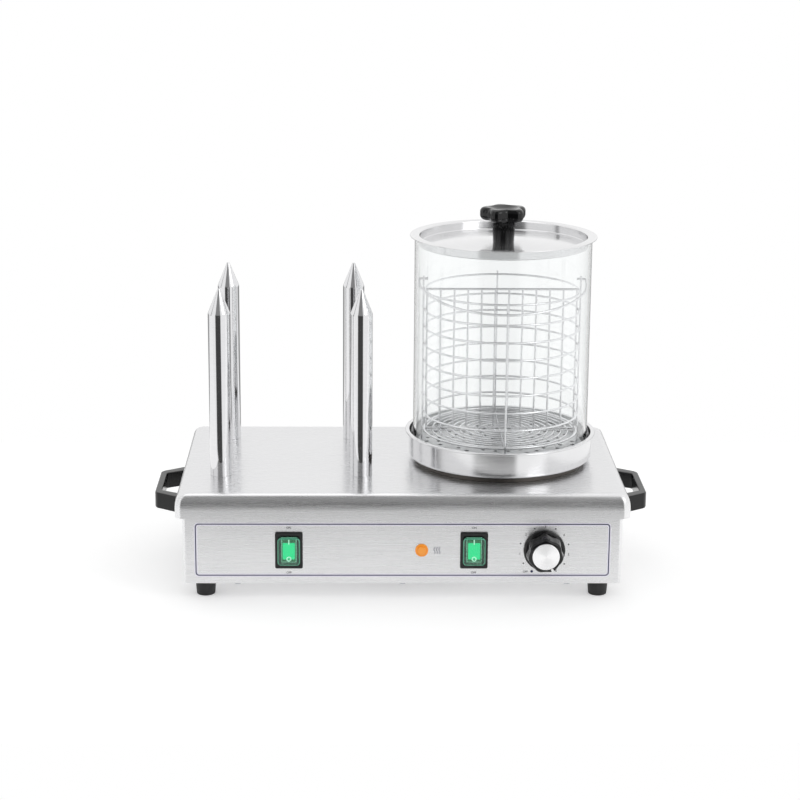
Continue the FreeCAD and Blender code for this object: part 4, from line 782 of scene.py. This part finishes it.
# %% Spikes
spike_cone = 27.5
heater_end = 170.2
heater_bore = 6.15
stem = 8
for spike in ("spike_front_left", "spike_front_right", "spike_back_left", "spike_back_right"):
    low, high, middle = span(spike)
    tube = (high.x - low.x) / 2
    foot = low.z
    outline = rounded([
        (0, foot + heater_end), (heater_bore, foot + heater_end), (heater_bore, foot),
        (stem, foot), (stem, deck_top), (tube, deck_top), (tube, high.z - spike_cone), (1.5, high.z),
        (0, high.z)], {5: 0.35, 6: 9, 7: 1.1}, 8)
    finish_piece("polished_" + spike, turn_outline(outline, middle, 96), mirror_steel,
                 "base", spike)

# %% [markdown]
# ## Water pan
# The pan is spun from one disc: a low ring lifts it off the deck, the wall stands nearly
# upright and the rim is rolled flat to the outside. Each bend is an arc here, because a
# sharp bend would reflect no bright line, and those lines are what shows the shape. Welded
# studs reach down through the deck and hold the pan.

# %% Spun pan
ring_inside = 92
ring_outside = 98
rim_outside = 109
rim_thickness = 2.2
stud_circle = 95
stud_radius = 2.5
centre_stud = 3
stud_weld = 0.2
floor_under = deck_top + 5.5
floor_over = floor_under + 1.2
rim_top = floor_under + 30
rim_under = rim_top - rim_thickness
outline = rounded([
    (0, floor_under), (ring_inside, floor_under), (ring_inside, deck_top),
    (ring_outside, deck_top), (ring_outside, floor_under), (105, floor_under),
    (105.4, rim_under), (rim_outside, rim_under), (rim_outside, rim_top), (104.2, rim_top),
    (103.8, floor_over), (0, floor_over)],
    {3: 0.6, 5: 4, 6: 0.5, 7: 1.05, 8: 1.05, 9: 0.8, 10: 2.8}, 6)
shape = turn_outline(outline, pan_middle, 160)
# The outside of the low ring gets the dark steel, which is painted shade under the pan's rim.
for face in shape.faces:
    reach = (face.calc_center_median() - Vector((pan_axis, 0, 0))).to_2d().length
    face.material_index = 1 if 96 < reach < 99 and face.normal.z < 0.5 else 0
for k in range(4):
    turn = math.radians(45 + 90 * k)
    place = (pan_axis + stud_circle * math.cos(turn), stud_circle * math.sin(turn), deck_top - 15)
    bent_wire(shape, stud_radius, place, UPRIGHT, [("run", 15 + stud_weld)], 20)
bent_wire(shape, centre_stud, (pan_axis, 0, pan_low.z), UPRIGHT,
          [("run", floor_under + stud_weld - pan_low.z)], 24)
finish_piece("spun_water_pan", shape, [spun_pan_steel, painted_shade_steel], "base", "water_pan")

# %% [markdown]
# ## Glass
# The cylinder is a length of drawn borosilicate tube with fire-polished ends. Both of its
# walls are modelled, because light bends at each, and that is what darkens the two upright
# edges and leaves the middle clear.

# %% Glass cylinder
low, high, middle = span("glass_cylinder")
outside = (high.x - low.x) / 2
glass_wall = 3
inside_radius = outside - glass_wall
corners = [(inside_radius, low.z), (outside, low.z), (outside, high.z), (inside_radius, high.z)]
outline = rounded(corners, {0: 1, 1: 1, 2: 1, 3: 1}, 6)
outline.append(outline[0])
finish_piece("glass_tube", turn_outline(outline, middle, 192), borosilicate_glass,
             "glass", "glass_cylinder")

# %% [markdown]
# ## Lid
# The lid is spun too: a flat flange rests on the glass, a short wall drops inside it, and
# the floor rises to the middle so that drops of water run outwards and back into the pan.

# %% Dished lid
low, high, middle = span("lid")
flange = (high.x - low.x) / 2
top = high.z
lid_sheet = 1
lid_wall = 94.5
knob_seat = 20
screw_hole = 2.65
edge_level = top - 10.5
seat_level = edge_level + 6.5
corners = [
    (flange, top - lid_sheet), (flange, top), (lid_wall, top), (lid_wall, edge_level),
    (knob_seat, seat_level), (screw_hole, seat_level), (screw_hole, seat_level - lid_sheet),
    (knob_seat, seat_level - lid_sheet), (lid_wall + lid_sheet, edge_level - lid_sheet),
    (lid_wall + lid_sheet, top - lid_sheet)]
outline = rounded(corners, {0: 0.45, 1: 0.45, 2: 1.6, 3: 1.2, 4: 12, 7: 12, 8: 1.8, 9: 0.6}, 6)
outline.append(outline[0])
finish_piece("dished_lid", turn_outline(outline, middle, 160), spun_lid_steel, "lid", "lid")

# %% [markdown]
# ## Lid knob
# The knob is a moulded star grip: five soft lobes on a round neck, with a dish in the top.
# A ring of points is pulled up row by row, and each row swells by its own amount five
# times round. The dial of the thermostat is made the same way.

# %% Lobed turning and the lid knob


def lobed_turning(rows, count, phase, steps=120):
    """Rows of (radius, swell, level), where the swell repeats a number of times round."""
    shape = bmesh.new()
    bmesh.ops.create_circle(shape, cap_ends=False, radius=1, segments=steps)
    rim = shape.edges[:]
    ring = shape.verts[:]
    for k, (radius, swell, level) in enumerate(rows):
        if k:
            ring, rim = pull(shape, rim)
        for vert in ring:
            angle = math.atan2(vert.co.y, vert.co.x)
            reach = radius + swell * math.cos(count * (angle - math.radians(phase)))
            vert.co = (math.cos(angle) * reach, math.sin(angle) * reach, level)
    ends = [edge for edge in shape.edges if edge.is_boundary]
    bmesh.ops.holes_fill(shape, edges=ends, sides=steps)
    face_out(shape)
    return shape


_, knob_high, _ = span("lid_knob")
knob_rows = (
    (12, 0, -35.5), (13.2, 0, -14.5), (19, 3, -14.5), (20.6, 3.1, -14.35), (22.2, 3.4, -13.1),
    (23.2, 3.5, -11.2), (23.5, 3.5, -9.7), (23.5, 3.5, -4.8), (23.1, 3.45, -3),
    (22.1, 3.3, -1.4), (20.6, 2.8, -0.3), (18.7, 2.2, 0), (16.8, 0.6, -0.2), (15.5, 0, -0.7),
    (9, 0, -2.8), (4, 0, -3))
shape = lobed_turning([(radius, swell, knob_high.z + level) for radius, swell, level in knob_rows],
                      5, 98)
move(shape, (pan_axis, 0, 0))
finish_piece("star_grip_knob", shape, black_phenolic, "lid", "lid_knob")

# %% [markdown]
# ## Wire basket
# The basket is welded from drawn wire. Nine hoops hang on four posts, rings on a cross of
# two spokes make the floor, and a grid of upright wires splits the basket in two so that
# the sausages stand. Round wire shows a thin bright line and a dark one, so each wire is a
# real tube and not a flat strip. Hoops and uprights are drawn 0.2 mm thicker than they are,
# because wire much thinner than a pixel fades from a picture.

# %% Hoops and posts
_, hoops_high, _ = span("basket_hoops")
hoop_wire = 1.0
drawn_wire = 1.2
hoop_radius = 87.5
top_hoop = hoops_high.z - hoop_wire
bottom_hoop = top_hoop - 163
hoop_pitch = 20
hoop_levels = [bottom_hoop + hoop_pitch * k for k in range(8)] + [top_hoop]
shape = bmesh.new()
for level in hoop_levels:
    wire_ring(shape, hoop_radius, drawn_wire, (pan_axis, 0, level), UPRIGHT, 12, 96)
face_out(shape)
finish_piece("basket_hoop_wires", shape, wire_steel, "basket", "basket_hoops")

posts_low, posts_high, _ = span("basket_posts")
post_circle = posts_high.y - hoop_wire
bail_low, bail_high, _ = span("basket_bail")
bail_wire = 1.3
bail_level = bail_high.z - bail_wire
eye_radius = 2.6
shape = bmesh.new()
for side, top in ((-1, top_hoop + 1), (1, top_hoop + 4)):
    bent_wire(shape, drawn_wire, (pan_axis, side * post_circle, posts_low.z), UPRIGHT,
              [("run", top - posts_low.z)], 12)
for side in (-1, 1):
    place = (pan_axis + side * post_circle, 0, posts_low.z)
    bent_wire(shape, drawn_wire, place, UPRIGHT,
              [("run", bail_level - eye_radius - posts_low.z)], 12)
    wire_ring(shape, eye_radius, hoop_wire, (place[0], 0, bail_level), Vector((1, 0, 0)), 12, 32)
face_out(shape)
finish_piece("basket_post_wires", shape, wire_steel, "basket", "basket_posts")

# %% Divider and ringed floor
floor_low, floor_high, _ = span("basket_floor")
ring_wire = 0.8
ring_pitch = 7.8
ring_level = floor_high.z - ring_wire
spoke_level = floor_low.z + hoop_wire
spoke = (floor_high.x - floor_low.x) / 2
shape = bmesh.new()
for k in range(1, 12):
    wire_ring(shape, ring_pitch * k, ring_wire, (pan_axis, 0, ring_level), UPRIGHT, 10, 72)
for heading in (Vector((1, 0, 0)), Vector((0, 1, 0))):
    bent_wire(shape, hoop_wire, Vector((pan_axis, 0, spoke_level)) - heading * spoke, heading,
              [("run", 2 * spoke)], 12)
finish_piece("basket_floor_wires", shape, wire_steel, "basket", "basket_floor")

grid_low, grid_high, _ = span("basket_divider")
foot_level = grid_low.z + hoop_wire
grid_pitch = 15.5
rail = [("run", grid_high.x - grid_low.x)]
shape = bmesh.new()
for level, wire in ((top_hoop, 1.25), (foot_level, 1)):
    bent_wire(shape, wire, (grid_low.x, 0, level), (1, 0, 0), rail, 12)
for k in range(12):
    bent_wire(shape, drawn_wire, (pan_axis + grid_pitch * (k - 5.5), 0, foot_level), UPRIGHT,
              [("run", top_hoop - foot_level)], 12)
finish_piece("basket_divider_wires", shape, wire_steel, "basket", "basket_divider")

# %% [markdown]
# ## Bail
# The bail is one wire bent into a half circle, with its ends turned in through the eyes of
# the side posts. It lies folded to the front. It is drawn the way it is bent: a short run,
# a tight bend, the long bow, a tight bend and a short run.

# %% Folded bail
bail_fold = math.radians(13.6)
bail_reach = (bail_high.x - bail_low.x) / 2 - bail_wire
bail_bend = 3.0
pin_length = bail_reach - post_circle + 5
bail_forward = Vector((0, -math.cos(bail_fold), -math.sin(bail_fold)))
bail_axis = Vector((1, 0, 0)).cross(bail_forward)
bail_centre = Vector((pan_axis, 0, bail_level))
lean = math.degrees(math.asin(bail_bend / (bail_reach - bail_bend)))
bend_x = (bail_reach - bail_bend) * math.cos(math.radians(lean))
near_bend = bail_centre + Vector((bend_x, 0, 0)) + bail_forward * bail_bend
far_bend = bail_centre - Vector((bend_x, 0, 0)) + bail_forward * bail_bend
pin_run = bend_x - (bail_reach - pin_length)
shape = bmesh.new()
bent_wire(shape, bail_wire, bail_centre + Vector((bail_reach - pin_length, 0, 0)), (1, 0, 0), [
    ("run", pin_run), ("bend", near_bend, bail_axis, 90 + lean),
    ("bend", bail_centre, bail_axis, 180 - 2 * lean), ("bend", far_bend, bail_axis, 90 + lean),
    ("run", pin_run)], 16, 96)
finish_piece("basket_bail_wire", shape, wire_steel, "bail", "basket_bail")

# %% [markdown]
# ## Carrying handles
# Each handle is one thick moulding with two slanting arms and a straight grip. Its edges
# are cut back at an angle, and those cut edges catch the light as grey lines all round.

# %% Handles
handle_edge = 1.6
for side, name in ((-1, "handle_left"), (1, "handle_right")):
    low, high, middle = span(name)
    wall = side * casing_high.x
    grip = high.x if side > 0 else low.x
    inner = grip - side * 7.5
    shape = bmesh.new()
    outline = ((wall, -69), (grip, -42), (grip, 42), (wall, 69), (wall, 51), (inner, 33),
               (inner, -33), (wall, -51))
    corners = [bmesh.ops.create_vert(shape, co=(x, y, low.z))["vert"][0] for x, y in outline]
    shape.faces.new(corners)
    made = bmesh.ops.extrude_face_region(shape, geom=shape.faces[:])["geom"]
    verts = pick(made, "Vert")
    move(shape, (0, 0, high.z - low.z), verts)
    face_out(shape)
    for place, amount in ((grip, 5), (inner, 2.5)):
        edges = [edge for edge in shape.edges
                 if all(abs(vert.co.x - place) < 0.01 for vert in edge.verts)
                 and abs(edge.verts[0].co.z - edge.verts[1].co.z) > 1]
        soften(shape, edges, amount, 6)
    edges = [edge for edge in shape.edges
             if abs(edge.verts[0].co.z - edge.verts[1].co.z) < 0.01
             and any(abs(vert.co.x - wall) > 0.01 for vert in edge.verts)
             and len(edge.link_faces) == 2
             and abs(edge.link_faces[0].normal.z) + abs(edge.link_faces[1].normal.z) > 0.9]
    soften(shape, edges, handle_edge, 2)
    finish_piece("moulded_" + name, shape, black_nylon, "base", name)

# %% [markdown]
# ## Switches
# Each switch is a rocker under a splash-proof silicone boot. The boot is a soft rounded box
# of green see-through rubber, and the lit part of the rocker glows through its middle. A
# white bar and a white ring on the rocker stand for on and off, and ride on the rocker.

# %% Boots and rockers
boot_wall = 1.0
rocker_lean = -10
pivot_y = panel_face + 2
lens_front = -5.9
ink_gap = 0.05
bar_size = (1.3, 5.2)
bar_height = 9.0
ring_mark = 2.8
ring_depth = 9.6


def rounded_box(low, high, corner, edge, segments=5):
    """A box whose edges along Y have one radius and whose front rim has another."""
    shape = block(high - low, (low + high) / 2)
    along = [e for e in shape.edges if abs(e.verts[0].co.y - e.verts[1].co.y) > 0.01]
    soften(shape, along, corner, segments)
    front = [e for e in shape.edges
             if all(abs(vert.co.y - low.y) < 0.001 for vert in e.verts)]
    soften(shape, front, edge, segments)
    return shape


def seat_on_pivot(shape, x):
    """Leans a piece of a rocker and puts it on the rocker's pivot."""
    tilt(shape, rocker_lean)
    move(shape, (x, pivot_y, control_level))


for switch in ("bun", "steam"):
    low, high, middle = span(switch + "_switch_boot")
    shape = rounded_box(low, high, 4, 1.6)
    back = [face for face in shape.faces if all(abs(v.co.y - high.y) < 0.001 for v in face.verts)]
    bmesh.ops.delete(shape, geom=back, context="FACES_ONLY")
    face_out(shape)
    bmesh.ops.solidify(shape, geom=shape.faces[:], thickness=boot_wall)
    # The rounded rim faces get the second green, which is painted light along the boot's rim.
    for face in shape.faces:
        face.material_index = 1 if 0.1 < -face.normal.y < 0.97 else 0
    finish_piece(switch + "_silicone_boot", shape, [green_silicone, boot_rim_painted_light], "base",
                 switch + "_switch_boot")

    shape = block((15, 8, 25), (0, -1.5, 0))
    soften(shape, shape.edges[:], 0.75, 3)
    seat_on_pivot(shape, middle.x)
    bent_wire(shape, 1.5, (middle.x - 10.5, pivot_y, control_level), (1, 0, 0), [("run", 21)], 16)
    finish_piece(switch + "_rocker_body", shape, dark_green, switch + "_rocker",
                 switch + "_switch_rocker")

    shape = rounded_box(Vector((-6.75, lens_front, -10.1)), Vector((6.75, -5.4, 8.2)), 1.2, 0.3, 4)
    seat_on_pivot(shape, middle.x)
    finish_piece(switch + "_rocker_lens", shape, lit_green, switch + "_rocker")

    shape = bmesh.new()
    bmesh.ops.create_grid(shape, x_segments=1, y_segments=1, size=0.5)
    stretch(shape, (*bar_size, 1))
    move(shape, (0, bar_height, 0))
    ring = bmesh.ops.create_circle(shape, cap_ends=False, radius=ring_mark, segments=32)["verts"]
    rim = list({edge for vert in ring for edge in vert.link_edges})
    inner, _ = pull(shape, rim)
    stretch(shape, (0.52, 0.52, 1), inner)
    move(shape, (0, -ring_depth, 0), ring + inner)
    face_out(shape)
    tilt(shape, 90)
    move(shape, (0, lens_front - ink_gap, 0))
    seat_on_pivot(shape, middle.x)
    finish_piece(switch + "_rocker_marks", shape, lit_white_ink, switch + "_rocker")

# %% [markdown]
# ## Pilot lamp
# The lamp is a turned lens of amber plastic: a low flange, a groove and a flat dome. The
# groove shows as a darker ring.

# %% Amber lens


def face_user(shape, x, y, z):
    """Turns a shape drawn flat so that its top looks at the user, and puts it in place."""
    tilt(shape, 90)
    move(shape, (x, y, z))
    return shape


low, high, middle = span("pilot_lamp_lens")
outline = rounded([
    (0, 0), (7.2, 0), (7.2, 1.5), (5.7, 1.75), (5.45, 1.2), (5.0, 1.2), (4.9, 3.3), (0, 3.5)],
    {2: 0.5, 6: 1.0}, 5)
shape = face_user(turn_outline(outline, (0, 0), 64), middle.x, panel_face, control_level)
finish_piece("amber_lamp_lens", shape, amber, "base", "pilot_lamp_lens")

# %% [markdown]
# ## Thermostat dial
# The dial is a glossy black cone with shallow flutes for the fingers, a white line that
# points at the number, and a thin cap of spun aluminium pressed into its front.

# %% Fluted dial and cap
_, dial_high, _ = span("dial_knob")
dial_turns = 7
dial_phase = -63
dial_rows = (
    (23, 0, 0), (23, 0, 2.2), (22.7, 0, 2.8), (22.0, 0.1, 3.2), (21.0, 0.55, 3.7),
    (20.4, 0.75, 5), (18.9, 0.75, 19.5), (18.5, 0.7, 21.3), (17.9, 0.55, 22.4),
    (16.9, 0.3, 22.95), (15.2, 0, 23), (15.02, 0, 22.8), (15.02, 0, 22))
shape = lobed_turning(dial_rows, dial_turns, dial_phase)
face_user(shape, dial_middle.x, dial_high.y, control_level)
finish_piece("fluted_dial", shape, black_phenolic, "dial", "dial_knob")

pointer_turn = 155
pointer_half = 4.6
paint_height = 0.04
paint = [(radius + paint_height, swell, level + paint_height)
         for radius, swell, level in dial_rows[5:11]]
shape = lobed_turning(paint, dial_turns, dial_phase)
pointer = Vector((math.sin(math.radians(pointer_turn)), math.cos(math.radians(pointer_turn))))
narrow = math.cos(math.radians(pointer_half))
spare = [face for face in shape.faces if len(face.verts) > 4
         or face.calc_center_median().to_2d().normalized().dot(pointer) < narrow]
bmesh.ops.delete(shape, geom=spare, context="FACES")
face_user(shape, dial_middle.x, dial_high.y, control_level)
finish_piece("painted_pointer", shape, white_ink, "dial")

_, cap_high, _ = span("dial_cap")
outline = rounded([(0, 0), (14.95, 0), (14.95, 1.25), (0, 1.5)], {2: 0.4}, 4)
shape = face_user(turn_outline(outline, (0, 0), 96), dial_middle.x, cap_high.y, control_level)
finish_piece("spun_dial_cap", shape, spun_aluminium, "dial", "dial_cap")

# %% [markdown]
# ## Cable gland
# Out of sight at the back, the mains lead's gland has a hexagon flange and a ribbed cap.

# %% Ribbed gland
low, high, middle = span("cable_gland")
gland_rows = (
    (8, 0, -11), (8, 0, 0), (11.6, 0, 0), (12, 0, 0.4), (12, 0, 4.6), (11.6, 0, 5),
    (10, 0, 5), (10.1, 0.35, 5.6), (10.1, 0.35, 18.2), (9.6, 0.2, 19), (6.3, 0, 23.6),
    (5.8, 0, 24), (4.5, 0, 24), (4.5, 0, -11), (8, 0, -11))
shape = lobed_turning(gland_rows[:-1], 24, 0, 144)
caps = [face for face in shape.faces if len(face.verts) > 4]
bmesh.ops.delete(shape, geom=caps, context="FACES_ONLY")
bmesh.ops.bridge_loops(shape, edges=[edge for edge in shape.edges if edge.is_boundary])
face_out(shape)
tilt(shape, -90)
move(shape, (middle.x, casing_high.y, middle.z))
finish_piece("ribbed_cable_gland", shape, black_nylon, "base", "cable_gland")

# %% [markdown]
# ## Printing on the panel
# A navy line frames the controls, between two pale ones that set it off from the steel,
# with plain ON, OFF and numbers round the dial. Screen print is a film of ink a few
# hundredths of a millimetre thick, so each mark is a thin sheet just in front of the steel.

# %% Helpers for print
ink_height = 0.05
print_face = panel_face - ink_height


def print_flat(name, shape, finish):
    """Lays marks drawn in x and z as if on paper onto the panel."""
    face_user(shape, 0, print_face, 0)
    finish_piece(name, shape, finish, "base")


def letters(text, size, x, z, shape):
    """Adds upright lettering, centred on a point, to a flat drawing."""
    curve = bpy.data.curves.new("lettering", "FONT")
    curve.body = text
    curve.size = size
    curve.align_x = "CENTER"
    curve.align_y = "CENTER"
    curve.resolution_u = 4
    curve.offset = 0.06
    holder = bpy.data.objects.new("lettering", curve)
    made = bpy.data.meshes.new_from_object(holder)
    made.transform(Matrix.Translation((x, z, 0)))
    shape.from_mesh(made)
    bpy.data.objects.remove(holder)
    bpy.data.curves.remove(curve)
    bpy.data.meshes.remove(made)


def dot(shape, radius, x, z):
    """Adds a round spot to a flat drawing."""
    verts = bmesh.ops.create_circle(shape, cap_ends=True, radius=radius, segments=24)["verts"]
    move(shape, (x, z, 0), verts)


def frame_line(reach, low_z, high_z, corner, width):
    """A flat rounded frame of even width that reaches as far to the left as to the right."""
    shape = rounded_rectangle(2 * reach, high_z - low_z, corner, 0, 6)
    bmesh.ops.inset_region(shape, faces=shape.faces[:], thickness=width, use_boundary=True,
                           use_even_offset=True)
    middle = [face for face in shape.faces if len(face.verts) > 4]
    bmesh.ops.delete(shape, geom=middle, context="FACES")
    move(shape, (0, (low_z + high_z) / 2, 0))
    return shape


# %% Frame, words and numbers
print_flat("printed_frame", frame_line(228.5, 28.4, 88.8, 4, 1.25), navy_ink)
print_flat("printed_inner_frame", frame_line(227.25, 29.65, 87.55, 2.75, 1.4), pale_ink)
print_flat("printed_outer_frame", frame_line(229.8, 27.1, 90.1, 5, 1.3), pale_ink)

switch_places = (-125.5, 78.5)
word_size = 3.3
shape = bmesh.new()
for x in switch_places:
    letters("ON", word_size, x, 84, shape)
    letters("OFF", word_size, x, 32, shape)
print_flat("printed_switch_words", shape, black_ink)

mark_step = 24.9
mark_start = 211.6
mark_radius = 27.5
shape = bmesh.new()
marks = [None, "", "1", "", "2", "", "3", "", "4", "", "5", "", "6"]
for k, mark in enumerate(marks):
    angle = math.radians(mark_start + mark_step * k)
    x = dial_middle.x + mark_radius * math.sin(angle)
    z = control_level + mark_radius * math.cos(angle)
    if mark:
        letters(mark, 3.6, x, z, shape)
    elif mark == "":
        dot(shape, 0.85, x, z)
letters("OFF", 3.2, dial_middle.x - 20.5, 33.2, shape)
print_flat("printed_dial_numbers", shape, black_ink)
shape = bmesh.new()
dot(shape, 1.5, 142.9, 33.6)
print_flat("printed_off_dot", shape, navy_ink)

# %% Heat mark of three waves
wave_height = 8
wave_width = 0.7
wave_swing = 0.75
wave_pitch = 2.7
mark_middle = (37.7, 58.1)
shape = bmesh.new()
for k in range(3):
    places = []
    for step in range(17):
        rise = step / 16
        x = mark_middle[0] + wave_pitch * (k - 1) + wave_swing * math.sin(rise * math.tau * 1.25)
        places.append((x - wave_width / 2, mark_middle[1] + wave_height * (rise - 0.5), 0))
    verts, _ = pull(shape, draw_chain(shape, places)[1])
    move(shape, (wave_width, 0, 0), verts)
face_out(shape)
print_flat("printed_heat_mark", shape, navy_ink)

# %% [markdown]
# ## Pieces that keep their engineering shape
# Nuts, screws, the heating plate and other inner pieces already have their real shape. They
# only need the right finish, which follows from the slot that the record gives each one.

# %% Finishes for the other pieces
slot_finishes = {
    "brushed_steel": hairline_steel, "polished_steel": mirror_steel, "zinc_plate": zinc_plate,
    "heater_steel": heater_alloy, "black_rubber": black_rubber, "black_plastic": black_nylon,
    "clear_glass": borosilicate_glass, "green_boot": green_silicone,
    "green_rocker": dark_green, "amber_lens": amber, "aluminium": spun_aluminium,
    "white_plastic": white_nylon}
own_finishes = {"steam_plate": spun_plate_steel}
slots = {row["node"]: row["material_slot"] for row in frame["record"]["subparts"]}
for name, piece in frame["nodes"].items():
    finish = own_finishes.get(name, slot_finishes[slots[name]])
    if not piece.material_slots:
        piece.data.materials.append(finish)
    for each in piece.material_slots:
        each.material = finish
print("finished", len(frame["nodes"]), "nodes")
